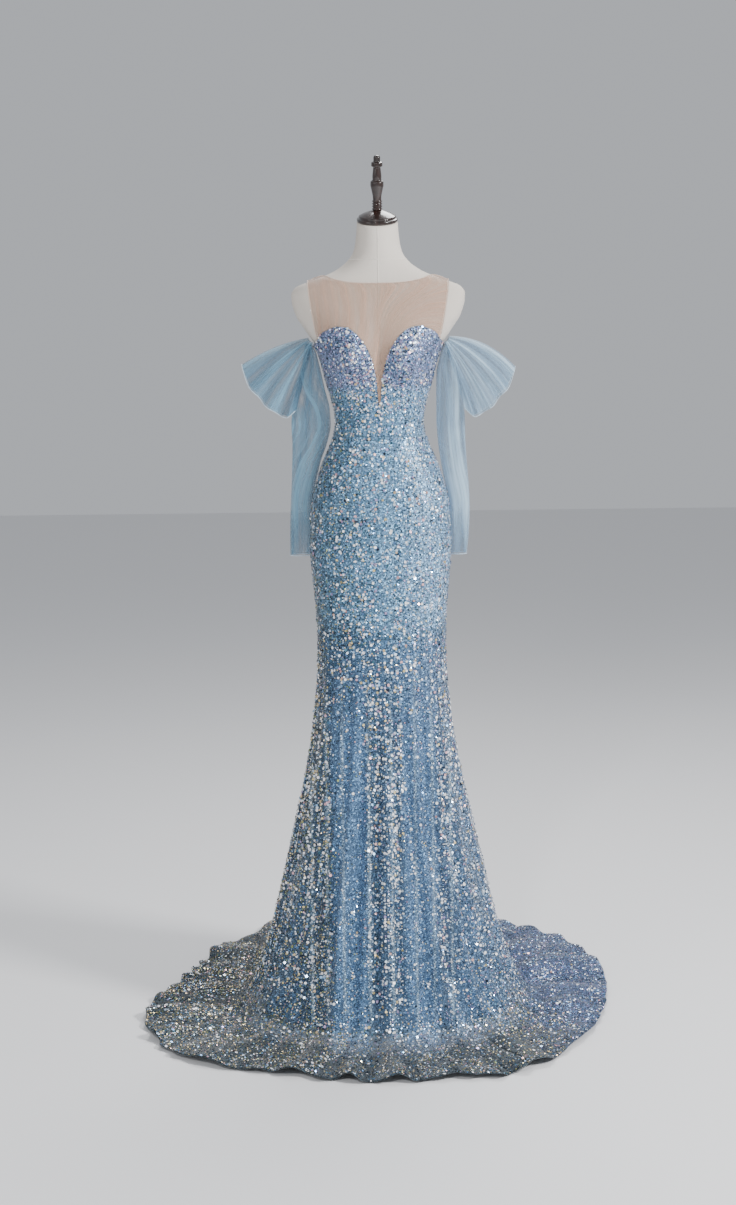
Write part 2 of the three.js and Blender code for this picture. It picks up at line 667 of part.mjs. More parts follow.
// Mirrors an angle from the wearer's left to the right
const mirrored = (angle) => 180 - angle;

// A column at a fixed angle, or beside a seam where a distance in millimetres is given
function column(angle, side, distance = 0, direction = 1) {
  const at = (z) => {
    const near = distance ? besideSeam(angle, direction, figureSection(z), distance) : angle;
    return side > 0 ? near : mirrored(near);
  };
  return { angle, at };
}

const sweetheartAngle = ({ x, z }) => {
  const { half, power } = figureSection(z);
  return angleOfX(half, power, x, -1);
};

function addBodice(side, name) {
  const gap = SEAM_GAP / 2;
  const frontColumns = SWEETHEART.map((point, i) => ({
    ...(i === 0 ? column(CENTRE_FRONT, side, gap) : column(sweetheartAngle(point), side)),
    top: point.z,
  }));
  const princessTop = TOP_EDGE[0].z;
  frontColumns.push({ ...column(PRINCESS_SEAM, side, gap, -1), top: princessTop });
  addBodicePanel(`bodice_front_${name}`, frontColumns, (col) => col.top);

  const topAt = (col) => readTable(TOP_EDGE, 'angle', 'z', col.angle);
  const sideColumns = SIDE_COLUMNS.map((angle, i, all) => {
    if (i === 0) return column(angle, side, gap);
    if (i === all.length - 1) return column(angle, side, gap, -1);
    return column(angle, side);
  });
  addBodicePanel(`bodice_side_${name}`, sideColumns, topAt);

  const backColumns = BACK_COLUMNS.map((angle, i, all) => {
    if (i === 0) return column(angle, side, gap);
    if (i === all.length - 1) return column(angle, side, ZIP_EDGE, -1);
    return column(angle, side);
  });
  addBodicePanel(`bodice_back_${name}`, backColumns, topAt);
}

// Height of the shoulder line at a distance from the middle
function shoulderHeight(x) {
  let low = FIGURE[8].z;
  let high = FIGURE[3].z;
  for (let i = 0; i < 40; i += 1) {
    const middle = (low + high) / 2;
    if (figureSection(middle).half > x) low = middle;
    else high = middle;
  }
  return (low + high) / 2;
}

// A yoke wall from the bodice's top edge to the neckline and the shoulder seam. Each column keeps its share
// of the way to the armhole.
function addYoke(name, columns, armhole, neckline, face) {
  const levels = countUp(YOKE_ROWS).map((v) => {
    const outer = [];
    const inner = [];
    for (const { share, bottom, beside } of columns) {
      const edge = Math.abs(share) * readTable(armhole, 'z', 'x', ARMHOLE_TOP);
      const overShoulder = edge > NECKLINE_SIDE.x;
      const top = overShoulder
        ? shoulderHeight(edge) - 0.2
        : lerp(neckline, NECKLINE_SIDE.z, (edge / NECKLINE_SIDE.x) ** 3);
      const z = lerp(bottom, top, 1 - (1 - v) ** YOKE_ROW_CROWDING);
      const { half, power } = figureSection(z);
      const reach = share * readTable(armhole, 'z', 'x', z) + (beside ?? 0);
      let angle = angleOfX(half, power, reach, face);
      if (overShoulder) {
        const ridge = THREE.MathUtils.radToDeg(SEAM_GAP / 2 / SHOULDER_ROUND);
        const least = reach < 0 ? 180 - ridge : ridge;
        if (reach < 0 ? Math.abs(angle) > least : Math.abs(angle) < least) angle = face * least;
      }
      const rim = [offFigure(angle, z, EASE + TULLE), offFigure(angle, z, EASE)];
      if (v === 0) rim.forEach((point) => point.setZ(z));
      outer.push(rim[0]);
      inner.push(rim[1]);
    }
    return { outer, inner };
  });
  addMesh(name, wallGeometry(levels, false), 'net');
}

function addYokes() {
  // The front columns follow the sweetheart edge and stay a seam's gap inside it
  const sideEdge = TOP_EDGE.slice(0, 3).map(({ angle, z }) => {
    const { half, power } = figureSection(z);
    return { x: ovalPoint({ half, front: 1, back: 1, power }, angle).x, z };
  });
  const seamAt = (i) => (i < NOTCH_SEAM.points ? NOTCH_SEAM : { across: EDGE_SEAM, up: 0 });
  const half = [...SWEETHEART, ...sideEdge].map(({ x, z }, i) => ({
    share: i === 0 ? 0 : Math.max(0, x - seamAt(i).across) / readTable(ARMHOLE_FRONT, 'z', 'x', z),
    bottom: z + YOKE_SEAM + seamAt(i).up,
  }));
  half[0].bottom += NOTCH_TIP_LIFT;
  half[half.length - 1].share = 1;
  const front = [...half.slice(1).reverse().map((col) => ({ ...col, share: -col.share })), ...half];
  addYoke('yoke_front', front, ARMHOLE_FRONT, NECKLINE_FRONT, -1);

  const backAngles = BACK_COLUMNS.filter((angle) => angle >= ARMHOLE_BACK_COLUMN);
  const reachAt = (angle) => {
    const z = readTable(TOP_EDGE, 'angle', 'z', angle);
    return ovalPoint(figureSection(z), angle).x;
  };
  for (const [name, side] of [['left', 1], ['right', -1]]) {
    const columns = backAngles.map((angle) => {
      const share = reachAt(angle) / reachAt(ARMHOLE_BACK_COLUMN);
      return {
        share: side * share,
        bottom: readTable(TOP_EDGE, 'angle', 'z', angle) + YOKE_SEAM,
        beside: side * ZIP_EDGE * (1 - share),
      };
    });
    addYoke(`yoke_back_${name}`, columns, ARMHOLE_BACK, NECKLINE_BACK, 1);
  }
}

function addSleeve(name, rows, side) {
  const levels = rows.map((row, k) => {
    const middle = (row.inner + row.outer) / 2;
    const half = (row.outer - row.inner) / 2;
    const along = k / (rows.length - 1);
    const ring = (inset) => countUp(SLEEVE_COLUMNS).slice(1).map((u) => {
      const angle = 2 * Math.PI * u;
      const crease = 1 - SLEEVE_CREASE_SHARE * (1 - Math.cos(SLEEVE_CREASES * angle + 3 * along)) / 2
        * Math.sin(Math.PI * Math.min(1, along + 0.15));
      return new THREE.Vector3(
        side * (middle + (half * crease - inset) * Math.cos(angle)),
        row.middle + (row.depth * crease - inset) * Math.sin(angle),
        row.z,
      );
    });
    return { outer: ring(0), inner: ring(TULLE) };
  });
  addMesh(name, wallGeometry(levels, true), 'tulle');
}

// A flounce layer's point: share runs from the front layer's lower edge (-1) over the ridge (0) to the back's
// (1), and out runs from the gathers to the hem. The inset moves the point to the inside of the wall.
function flouncePoint(flounce, side, share, out, inset) {
  const q = Math.abs(share);
  const ridge = lerp(flounce.ridgeStart, flounce.ridgeEnd, out);
  const droop = radians(lerp(ridge, flounce.lowest, q ** 0.9));
  const hemWave = FLOUNCE_HEM_WAVE * Math.cos(2 * Math.PI * FLOUNCE_FOLDS * q) * out ** 2;
  const hem = flounce.scale * readTable(FLOUNCE_REACH, 'share', 'reach', q) + hemWave;
  const reach = lerp(FLOUNCE_START, hem, out);
  const round = (1 - (1 - q) ** 2.4) ** 0.5;
  const ripple = FLOUNCE_FOLD_HEIGHT * out * Math.sin(2 * Math.PI * FLOUNCE_FOLDS * q) * Math.min(1, 4 * q);
  const depth = readTable(FLOUNCE_DEPTH, 'share', 'depth', out);
  const under = inset * (1 - round);
  return new THREE.Vector3(
    side * (flounce.x + reach * Math.cos(droop)),
    Math.sign(share) * ((depth - inset) * round + ripple),
    flounce.z - reach * Math.sin(droop) - under,
  );
}

function addFlounce(name, flounce, side) {
  const shares = countUp(FLOUNCE_COLUMNS).map((u) => {
    const share = 2 * u - 1;
    return Math.sign(share) * Math.abs(share) ** 1.25;
  });
  const levels = countUp(FLOUNCE_ROWS).map((out) => ({
    outer: shares.map((share) => flouncePoint(flounce, side, share, out, 0)),
    inner: shares.map((share) => flouncePoint(flounce, side, share, out, TULLE)),
  }));
  addMesh(name, wallGeometry(levels, false), 'tulle');
}

// The plain blue lining that shows through the flared part of the skirt
function addLining() {
  const levels = LINING_HEIGHTS.map((z, k) => {
    const ring = skirtSection(z);
    const down = Math.min(1, (LINING_TOP - z) / LINING_CLEAR.over);
    const clear = lerp(LINING_CLEAR.above, LINING_CLEAR.below, down) + (z < 100 ? LINING_CLEAR.atFloor : 0);
    const inset = CLOTH + (k === 0 ? LINING_SEAM : clear);
    const wave = k === 0 ? 0 : lerp(1, LINING_WAVE, down);
    const make = (extra) => countUp(LINING_COLUMNS).slice(1).map((u) => {
      const angle = 360 * u;
      const shrink = inset + extra + wave * (1 + Math.cos(radians(10 * angle)));
      const { x, y } = ovalPoint(
        { half: ring.half - shrink, front: ring.front - shrink, back: ring.back - shrink, power: ring.power },
        angle,
      );
      return new THREE.Vector3(x, y, z);
    });
    return { outer: make(0), inner: make(LINING) };
  });
  addMesh('skirt_lining', wallGeometry(levels, true), 'lining');
}

// The form's torso lies a little inside the figure, and further in where the gown hides it
function addForm() {
  const heights = [
    1030, 1090, 1150, 1215, 1275, 1335, 1395, 1440, 1470, 1500, 1530, 1560, 1585, 1603, 1616, 1626, 1635,
    1643, 1651, 1660, 1673, 1692, 1720, 1762,
  ];
  const count = 32;
  const rings = heights.map((z) => {
    const bare = lerp(FORM_INSET, NECK_INSET, THREE.MathUtils.smoothstep(z, ARMHOLE_TOP, 1680));
    const inset = z < COVERED_BELOW ? COVERED_INSET : bare;
    const ends = z >= 1720 || z < 1040;
    return countUp(count).slice(1).map((u) => offFigure(360 * u, z, ends ? 0 : -inset));
  });
  rings[0] = rings[0].map((point) => new THREE.Vector3(point.x * 0.97, point.y * 0.97, FORM_BOTTOM));
  addMesh('form_torso', loftGeometry(rings), 'linen');

  const cap = new THREE.Group();
  const upNeck = new THREE.Vector3(0, -Math.sin(NECK_TILT), Math.cos(NECK_TILT));
  cap.position.set(0, 0, NECK_TOP).addScaledVector(upNeck, CAP_GAP);
  cap.rotation.x = NECK_TILT;
  gown.add(cap);
  const turned = (profile) => {
    const outline = profile.map(({ r, h }) => [r, h]);
    const points = [[0, profile[0].h], ...outline, [0, profile[profile.length - 1].h]];
    const lathe = new THREE.LatheGeometry(points.map(([r, h]) => new THREE.Vector2(r, h)), TURNED_SIDES);
    return lathe.rotateX(Math.PI / 2);
  };
  const beads = countUp(2 * BEADS.count).map((u, i) => ({
    r: i % 2 ? BEADS.radius : BEADS.neck,
    h: BEADS.start + u * BEADS.count * BEADS.pitch,
  }));
  addMesh('form_neck_cap', turned(CAP), 'wood', cap);
  addMesh('form_finial', turned([...beads, ...FINIAL]), 'wood', cap);

  const base = new THREE.LatheGeometry([
    [0, 0], [BASE.radius, 0], [BASE.radius, BASE.edge], [BASE.radius - 12, BASE.crown],
    [BASE.collarRadius + 8, BASE.crown + 4], [BASE.collarRadius, BASE.height - 6],
    [BASE.collarRadius - 3, BASE.height], [0, BASE.height],
  ].map(([r, h]) => new THREE.Vector2(r, h)), 28);
  addMesh('form_stand_base', base.rotateX(Math.PI / 2), 'enamel');
  const poleLength = FORM_BOTTOM - BASE.height - 2 * SEAM_GAP;
  const pole = new THREE.CylinderGeometry(POLE_RADIUS, POLE_RADIUS, poleLength, 16).rotateX(Math.PI / 2);
  const mesh = addMesh('form_stand_pole', pole, 'metal');
  mesh.position.z = BASE.height + SEAM_GAP + poleLength / 2;
}

const SLIDER = { z: 1622, width: 5.5, thickness: 2, length: 8, earWidth: 1, earLength: 3, pinRadius: 0.6 };
const TAB = { width: 2.9, thickness: 0.9, length: 20, eyeRadius: 1.5, boreRadius: 0.95 };
const PIN_HEIGHT = SLIDER.thickness + TAB.eyeRadius + 0.4; // above the slider's underside
const PIN_ALONG = 1.5; // above the slider's middle

function asManifold(geometry) {
  const plain = geometry.clone();
  plain.deleteAttribute('normal');
  plain.deleteAttribute('uv');
  const merged = mergeVertices(plain);
  return new wasm.Manifold(new wasm.Mesh({
    numProp: 3,
    vertProperties: new Float32Array(merged.attributes.position.array),
    triVerts: new Uint32Array(merged.index.array),
  }));
}

function asGeometry(manifold) {
  const mesh = manifold.getMesh();
  const geometry = new THREE.BufferGeometry();
  geometry.setAttribute('position', new THREE.BufferAttribute(mesh.vertProperties, 3));
  geometry.setIndex(new THREE.BufferAttribute(mesh.triVerts, 1));
  return geometry;
}

function addZip() {
  const heights = [
    ZIP_TOP, 1615, 1590, 1560, 1525, 1490, 1455, 1420, 1385, 1350, 1325, 1303, 1275, 1245, 1215, 1190,
    ZIP_BOTTOM + SEAM_GAP,
  ];
  const levels = heights.map((z) => {
    const { half, power } = figureSection(z);
    const edge = (distance) => [-1, 1].map((side) => {
      const angle = angleOfX(half, power, side * ZIP_HALF_WIDTH, 1);
      return offFigure(angle, z, distance);
    });
    return { outer: edge(EASE + ZIP_THICKNESS), inner: edge(EASE) };
  });
  addMesh('zip_tape', wallGeometry(levels, false), 'zip');

  // The slider stands on the tape, in a frame whose Z climbs the back and whose Y points away from it
  const normal = figureNormal(CENTRE_BACK, SLIDER.z);
  const slope = Math.atan2(normal.z, normal.y);
  const mount = new THREE.Group();
  mount.position.copy(offFigure(CENTRE_BACK, SLIDER.z, EASE + ZIP_THICKNESS + SEAM_GAP + 0.1));
  mount.rotation.x = slope;
  gown.add(mount);
  const block = (width, depth, height, x, y, z) => asManifold(
    new THREE.BoxGeometry(width, depth, height).translate(x, y, z),
  );
  let slider = block(SLIDER.width, SLIDER.thickness, SLIDER.length, 0, SLIDER.thickness / 2, 0);
  const earHeight = PIN_HEIGHT + 1 - SLIDER.thickness / 2;
  for (const side of [-1, 1]) {
    const x = side * (SLIDER.width - SLIDER.earWidth) / 2;
    const y = (SLIDER.thickness + earHeight) / 2;
    slider = slider.add(block(SLIDER.earWidth, earHeight, SLIDER.earLength, x, y, PIN_ALONG));
  }
  const pinLength = SLIDER.width - SLIDER.earWidth;
  const pin = new THREE.CylinderGeometry(SLIDER.pinRadius, SLIDER.pinRadius, pinLength, 12);
  slider = slider.add(asManifold(pin.rotateZ(Math.PI / 2).translate(0, PIN_HEIGHT, PIN_ALONG)));
  addMesh('zip_slider', asGeometry(slider), 'metal', mount);

  // The pull tab's outline, seen along the pin: a round eye with a flat tongue
  const outline = new THREE.Shape();
  const start = Math.asin(TAB.thickness / 2 / TAB.eyeRadius);
  outline.absarc(0, 0, TAB.eyeRadius, -Math.PI / 2 + start, -Math.PI / 2 - start + 2 * Math.PI, false);
  outline.lineTo(-TAB.thickness / 2, -TAB.length);
  outline.lineTo(TAB.thickness / 2, -TAB.length);
  outline.closePath();
  const bore = new THREE.Path();
  bore.absarc(0, 0, TAB.boreRadius, 0, 2 * Math.PI, true);
  outline.holes.push(bore);
  const thick = { depth: TAB.width, bevelEnabled: false, curveSegments: 12 };
  const tab = new THREE.ExtrudeGeometry(outline, thick);
  tab.translate(0, 0, -TAB.width / 2).rotateY(Math.PI / 2).rotateX(Math.PI / 2);
  const mesh = addMesh('zip_pull_tab', tab, 'metal', mount);
  mesh.position.set(0, PIN_HEIGHT, PIN_ALONG);
}

addForm();
addLining();
addGore('skirt_front', -180 - PRINCESS_SEAM, PRINCESS_SEAM);
addGore('skirt_side_left', PRINCESS_SEAM, SIDE_SEAM);
addGore('skirt_side_right', mirrored(SIDE_SEAM), mirrored(PRINCESS_SEAM));
addGore('skirt_back_left', SIDE_SEAM, CENTRE_BACK);
addGore('skirt_back_right', CENTRE_BACK, mirrored(SIDE_SEAM));
addBodice(1, 'left');
addBodice(-1, 'right');
addYokes();
addSleeve('sleeve_left', SLEEVE_LEFT, 1);
addSleeve('sleeve_right', SLEEVE_RIGHT, -1);
addFlounce('flounce_left', FLOUNCE_LEFT, 1);
addFlounce('flounce_right', FLOUNCE_RIGHT, -1);
addZip();

export default gown;
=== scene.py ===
"""An off-shoulder mermaid evening gown with a pooled train, on a limbless dress form.

Metres, in the frame of the CAD: +Z up the pole, the wearer's front faces -Y and the wearer's left is +X.
Angles go round the figure in degrees: 0 is the wearer's left side, 90 the centre back, -90 the centre front.
"""
import math

import bpy
import numpy as np
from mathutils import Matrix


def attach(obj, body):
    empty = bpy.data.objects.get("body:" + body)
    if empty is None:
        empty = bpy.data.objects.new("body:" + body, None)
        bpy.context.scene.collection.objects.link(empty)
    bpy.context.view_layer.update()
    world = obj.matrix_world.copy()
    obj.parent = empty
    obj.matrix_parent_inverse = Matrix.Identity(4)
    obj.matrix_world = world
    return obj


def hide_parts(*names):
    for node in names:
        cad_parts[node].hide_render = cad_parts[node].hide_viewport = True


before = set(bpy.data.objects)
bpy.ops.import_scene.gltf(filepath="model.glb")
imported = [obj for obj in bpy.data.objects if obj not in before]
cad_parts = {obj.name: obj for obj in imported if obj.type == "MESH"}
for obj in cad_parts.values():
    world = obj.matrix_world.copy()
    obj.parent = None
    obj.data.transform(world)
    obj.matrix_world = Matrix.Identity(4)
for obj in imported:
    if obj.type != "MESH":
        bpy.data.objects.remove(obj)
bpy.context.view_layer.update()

BODY = "gown_on_form"

# Cloth on the figure
EASE = 0.0008
CLOTH = 0.0015
NET = 0.001
SEAM_GAP = 0.0003
FORM_INSET = 0.0024
COVERED_INSET = 0.005
NECK_INSET = 0.0003
WAIST_SEAM = 1.303
NECK_TOP = 1.762
NECK_TILT = math.radians(15)
NECK_TILT_START = 1.665
ZIP_BOTTOM = 1.165
ZIP_EDGE = 0.0028
POINT_RADIUS = 1e-5
# The form: heights of its foot, its lengthwise seams, the seam round its neck and the cap's seat
FORM = {"bottom": 1.030, "seam": (1.366, 1.759), "neck_seam": 1.682, "cap_seat": 1.72, "girth": 0.9}
SEAM_RISE = 0.0003
# Radii at which half a seam's gap becomes an angle, and the oval's power at the zip
WAIST_RADIUS = 0.1
NOTCH_RADIUS = 0.03
SKIRT_RADIUS_SHARE = 0.8
ZIP_POWER = 2.1
# Thickness of each cloth's shell, and the first seed of the skirt's and the bodice's sequins
THICK = {"mesh": 0.0008, "lining": 0.0006, "net": 0.0004, "tulle": 0.0003}
SEEDS = {"skirt": 100, "bodice": 200}

PRINCESS_SEAM = -54.6
SIDE_SEAM = 12
CENTRE_FRONT = -90
CENTRE_BACK = 90

# Horizontal sections of the figure, as in the CAD
FIGURE = {
    "z": [1.762, 1.735, 1.711, 1.694, 1.677, 1.660, 1.642, 1.625, 1.608, 1.591, 1.574, 1.556, 1.539, 1.522,
          1.505, 1.487, 1.466, 1.444, 1.418, 1.383, 1.349, 1.331, 1.314, 1.297, 1.273, 1.236, 1.200, 1.163,
          1.127, 1.089, 1.050, 1.030],
    "half": [.0440, .0460, .0495, .0550, .0680, .0930, .1380, .1810, .1910, .1900, .1855, .1785, .1670,
             .1560, .1440, .1330, .1250, .1195, .1130, .1025, .0950, .0940, .0960, .1005, .1095, .1260,
             .1365, .1470, .1500, .1515, .1530, .1510],
    "front": [.047, .049, .051, .053, .056, .059, .063, .067, .071, .075, .080, .084, .087, .089, .090,
              .090, .088, .086, .084, .082, .080, .0795, .080, .081, .084, .089, .093, .096, .098, .099,
              .100, .100],
    "back": [.045, .048, .053, .058, .063, .069, .075, .080, .084, .088, .091, .093, .094, .094, .093,
             .091, .088, .085, .082, .080, .078, .078, .079, .081, .086, .096, .107, .115, .119, .119,
             .117, .116],
    "power": [2.0, 2.0, 2.0, 2.0, 2.0, 2.1, 2.2, 2.3, 2.4, 2.4, 2.4, 2.3, 2.3, 2.3, 2.3,
              2.2, 2.2, 2.2, 2.2, 2.2, 2.1, 2.1, 2.1, 2.1, 2.1, 2.1, 2.1, 2.1, 2.1, 2.1,
              2.1, 2.1],
}
CUP = {"apart": 0.066, "height": 1.464, "rise": 0.040, "wide": 0.036, "above": 0.044, "below": 0.031}

# Horizontal sections of the standing skirt and the height of its folds
SKIRT = {
    "z": [1.050, 1.000, .945, .890, .835, .780, .720, .660, .600, .540, .480, .420, .360, .300, .240, .180,
          .120, .080, .045, .020, .008],
    "half": [.1553, .1515, .1460, .1425, .1415, .1420, .1460, .1515, .1590, .1685, .1800, .1920, .2045, .2180,
             .2320, .2480, .2690, .2870, .3090, .3310, .3520],
    "front": [.1023, .1015, .1025, .105, .108, .112, .117, .123, .130, .138, .147, .156, .166, .176, .187,
              .199, .212, .222, .234, .246, .258],
    "back": [.1193, .118, .1175, .119, .123, .129, .137, .147, .159, .173, .189, .206, .225, .246, .270, .298,
             .331, .357, .384, .408, .430],
    "power": [2.1, 2.1, 2.1, 2.1, 2.1, 2.1, 2.05, 2.05, 2.05, 2, 2, 2, 2, 2, 2, 2, 2, 2, 2, 2, 2],
    "fold": [0, 0, 0, .0006, .0016, .003, .0045, .006, .008, .010, .012, .014, .0155, .0165, .017, .017, .017,
             .014, .012, .009, .006],
}
FLOOR_BEND = 0.008
HEM = {
    "angle": [-180, -164, -149, -137, -122, -106, -90, -74, -62, -48, -34, -16, 2, 18, 34, 50, 70, 90, 110,
              128, 142, 158, 180],
    "reach": [.540, .548, .548, .528, .484, .470, .474, .474, .506, .503, .486, .488, .506, .548, .608, .656,
              .682, .692, .672, .606, .552, .508, .540],
}
HEM_WAVES = 47
HEM_UNEVEN = {"share": 0.4, "count": 7, "turned": 40}
HEM_WANDER = {"by": 1.5, "count": 5}
LUMP_WANDER = {"by": 1.6, "count": 4}
HEM_WAVE_REACH = 0.008
HEM_CALM = {"angle": [2, -172], "width": [30, 13], "share": [0.75, 0.6]}
HEM_WAVE_LIFT = 0.005
HEM_LUMP = {"count": 21, "lift": 0.016, "spread": 0.82, "length": 0.22, "calm": 15, "calm_width": 32}
FLOOR_RIPPLE = (0.013, 0.007)
FLOOR_SETTLE = 2.5
FOLDS = {
    "angle": [-172, -158, -146, -134, -123, -112, -100, -89, -78, -66, -50, -37, -24, -9, 8, 26, 45, 63, 81,
              98, 116, 134, 151, 165],
    "width": [8, 7, 6, 6, 5, 5, 5, 5, 5, 5, 6, 6, 7, 8, 8, 9, 9, 8, 8, 8, 9, 8, 7, 7],
    "height": [.9, .7, 1.1, .7, .8, 1.5, .6, 1.1, .8, 1.3, 1.4, .8, 1.0, .8, 1.0, 1.2, .8, 1.3, .8, 1.1, .8,
               1.3, .9, 1.1],
}
FOLD_VALLEY = 0.35
FOLD_SHARPNESS = 0.55
MOUNDS = {
    "angle": [-4, 34, 66, 112, 146, -172, -140, -44],
    "width": [18, 20, 16, 18, 15, 10, 8, 12],
    "lift": [.024, .028, .018, .020, .022, .014, .009, .010],
    "spread": [.30, .40, .50, .50, .40, .50, .50, .50],
}
MOUND_LENGTH = 0.35
# Short creases that run between the main folds, too fine for the CAD
CREASE_WAVES = 71
CREASE_HEIGHT = 0.0012
# Narrow folds that hang straight down the front, by their distance from the middle
DROPS = {
    "x": [-.160, -.126, -.090, -.034, .016, .068, .106, .146],
    "height": [.0045, .003, .007, .003, .006, .0045, .007, .005],
    "width": .0052,
}

# Clear blue panels of the front, where the lining shows through, between darker ones
PANELS = {
    "x": [-.24, -.17, -.122, -.108, -.045, -.030, .036, .050, .110, .124, .175, .24],
    "clear": [.35, .1, .05, 1, 1, .05, .05, .9, .9, .1, .5, .5],
}

LINING = {
    "top": 0.862, "hem": 0.014, "loose_below": 0.5, "seam_inset": 0.0009, "inset": (0.006, 0.022),
    "foot_inset": 0.03, "waves": 10, "wave": (0.001, 0.004),
}

SWEETHEART = {
    "x": [0, .0029, .0044, .0062, .0098, .0135, .0185, .026, .036, .050, .067, .086],
    "z": [1.370, 1.378, 1.3975, 1.419, 1.440, 1.456, 1.473, 1.490, 1.507, 1.524, 1.535, 1.5385],
}
TOP_EDGE = {
    "angle": [PRINCESS_SEAM, -43.7, -30.4, -15, 0, 28.3, 55, 90],
    "z": [1.5345, 1.526, 1.511, 1.503, 1.500, 1.499, 1.490, 1.480],
}
PANEL_ANGLES = {
    "side": [PRINCESS_SEAM, -43.7, -30.4, -19, -8, 2, SIDE_SEAM],
    "back": [SIDE_SEAM, 20, 28.3, 37, 47, 57, 68, 79, CENTRE_BACK],
}
YOKE_SEAM = 0.0004
BACK_YOKE_ANGLES = [28.3, 37, 47, 57, 68, 79, 90]
SHOULDER_HEIGHTS = (1.608, 1.694)
# Powers that draw the net's rows together at the shoulder and its columns at the notch
YOKE_ROWS = 1.9
NOTCH_CROWDING = 1.35
BINDING_RADIUS = 0.0007
ARMHOLE_BINDING_RADIUS = 0.0008
NECKLINE_FRONT = 1.630
NECKLINE_BACK = 1.637
NECKLINE_SIDE = {"x": 0.121, "z": 1.6485}
ARMHOLE_FRONT = {"z": [1.505, 1.560, 1.610, 1.640], "x": [.130, .141, .149, .152]}
ARMHOLE_BACK = {"z": [1.495, 1.560, 1.610, 1.640], "x": [.127, .138, .148, .152]}

SLEEVE_RIGHT = {
    "z": [1.5026, 1.486, 1.466, 1.440, 1.400, 1.362, 1.325, 1.285, 1.236, 1.140, 1.085, 1.035],
    "inner": [.1464, .1364, .131, .125, .117, .1075, .1045, .1135, .131, .149, .1495, .150],
    "outer": [.161, .163, .167, .173, .183, .191, .194, .193, .195, .200, .2015, .2025],
    "middle": [0, 0, 0, -.001, -.002, -.001, .002, .011, .021, .040, .043, .044],
    "depth": [.030, .031, .029, .024, .020, .018, .018, .019, .020, .021, .021, .022],
}
SLEEVE_LEFT = {
    "z": [1.5026, 1.486, 1.466, 1.440, 1.400, 1.338, 1.290, 1.236, 1.140, 1.085, 1.035],
    "inner": [.1464, .1364, .131, .125, .1235, .1235, .127, .1345, .149, .1495, .150],
    "outer": [.160, .162, .166, .172, .181, .188, .190, .194, .1995, .198, .193],
    "middle": [0, 0, 0, -.001, -.002, .002, .009, .021, .040, .043, .044],
    "depth": [.030, .031, .029, .024, .020, .018, .019, .020, .021, .021, .022],
}
SLEEVE_CREASES = 4
SLEEVE_GATHERS = 13
SLEEVE_CREASE_SHARE = 0.09
SLEEVE_GATHER_SHARE = 0.05
SLEEVE_SOFT_SHARE = 0.03
CUFF_HEM_RADIUS = 0.0008

FLOUNCE_RIGHT = {"x": 0.140, "z": 1.5174, "ridge_start": 8, "ridge_end": 20, "lowest": 75, "scale": 1}
FLOUNCE_LEFT = {"x": 0.140, "z": 1.5154, "ridge_start": -2, "ridge_end": 23, "lowest": 73, "scale": 1.01}
FLOUNCE_START = 0.013
FLOUNCE_REACH = {"share": [0, .22, .45, .70, .90, 1], "reach": [.168, .177, .178, .184, .184, .166]}
FLOUNCE_DEPTH = {"share": [0, .5, 1], "depth": [.0326, .045, .040]}
FLOUNCE_FOLDS = 3.5
FLOUNCE_FOLD_HEIGHT = 0.006
FLOUNCE_FINE_FOLD = 0.0009
FLOUNCE_HEM_WAVE = 0.0012
FLOUNCE_HEM_RADIUS = 0.0007

TEETH = {"from_foot": 0.004, "top": 1.616, "pitch": 0.0016, "rise": 0.0018, "aside": 0.0004,
         "half_size": [0.0010, 0.0004, 0.0005]}

# Where things fade in, in metres: where each starts and where it is whole
FADES = {
    "standing": (0, 0.07), "laid": (0, 0.12), "creases": (0.85, 0.35), "on_floor": (0.06, 0.01),
    "drops_down": (0.80, 0.45), "drops_end": (0, 0.12), "drops_front": (0.02, 0.07),
    "clear_down": (0.88, 0.68), "clear_end": (0.03, 0.08), "clear_front": (0, 0.06),
    "lining_foot": (0.20, 0.09), "neck_inset": (1.645, 1.680), "bare_inset": (1.490, 1.507),
    "cup_foils": (1.390, 1.415), "floor_foils": (0.12, 0.06), "floor_foils_out": (0.26, 0.34),
    "train_foils": (0.18, 0.36), "shaded_right_foils": (0.01, 0.13), "lit_left_foils": (0.01, 0.12),
    "fold_light_foils": (0.80, 0.50), "gold_foils": (0.90, 0.70), "strings": (0.92, 0.72),
    "few_large": (0.10, 0.05),
}

# Sequins: mostly small, with some larger ones among them
SEQUIN_PITCH = 0.0051
BODICE_PITCH = 0.0044
SEQUIN_RADIUS = 0.0018
LARGE_RADIUS = 0.0034
# How far the large and the small ones stand off the cloth
SEQUIN_LIFT = (0.0018, 0.0011)
LARGE_SHARE = {"upper": 0.09, "rich": 0.20, "plain": 0.015}
# How much one string differs from the next, and how many discs the clear panels lack
STREAK = 0.45
CLEAR_SHARE = 0.55
SEQUIN_TILT = 0.36
DROPPED_SHARE = 0.06
# The foils' tints, from dark to pale, then the rare ones. The white one is partly white sequins, partly
# painted glints
FOILS = [
    (0.015, 0.025, 0.045), (0.04, 0.13, 0.19), (0.09, 0.19, 0.38), (0.24, 0.42, 0.64), (0.62, 0.74, 0.86),
    (1.0, 0.99, 0.97), (0.40, 0.34, 0.62), (0.86, 0.50, 0.52), (0.82, 0.66, 0.34), (0.22, 0.27, 0.11)]
FOIL_GROUPS = {"dark": slice(0, 2), "blue": slice(2, 4), "pale": slice(3, 6), "white_highlights": slice(4, 6),
               "gold": slice(8, None)}
# How metallic the foils are along the row of tints: all but the white ones, which are matte so they stay
# bright, partly as painted glints
FOIL_METAL = [(0.48, 0.72), (0.52, 0.05), (0.59, 0.05), (0.61, 0.72)]
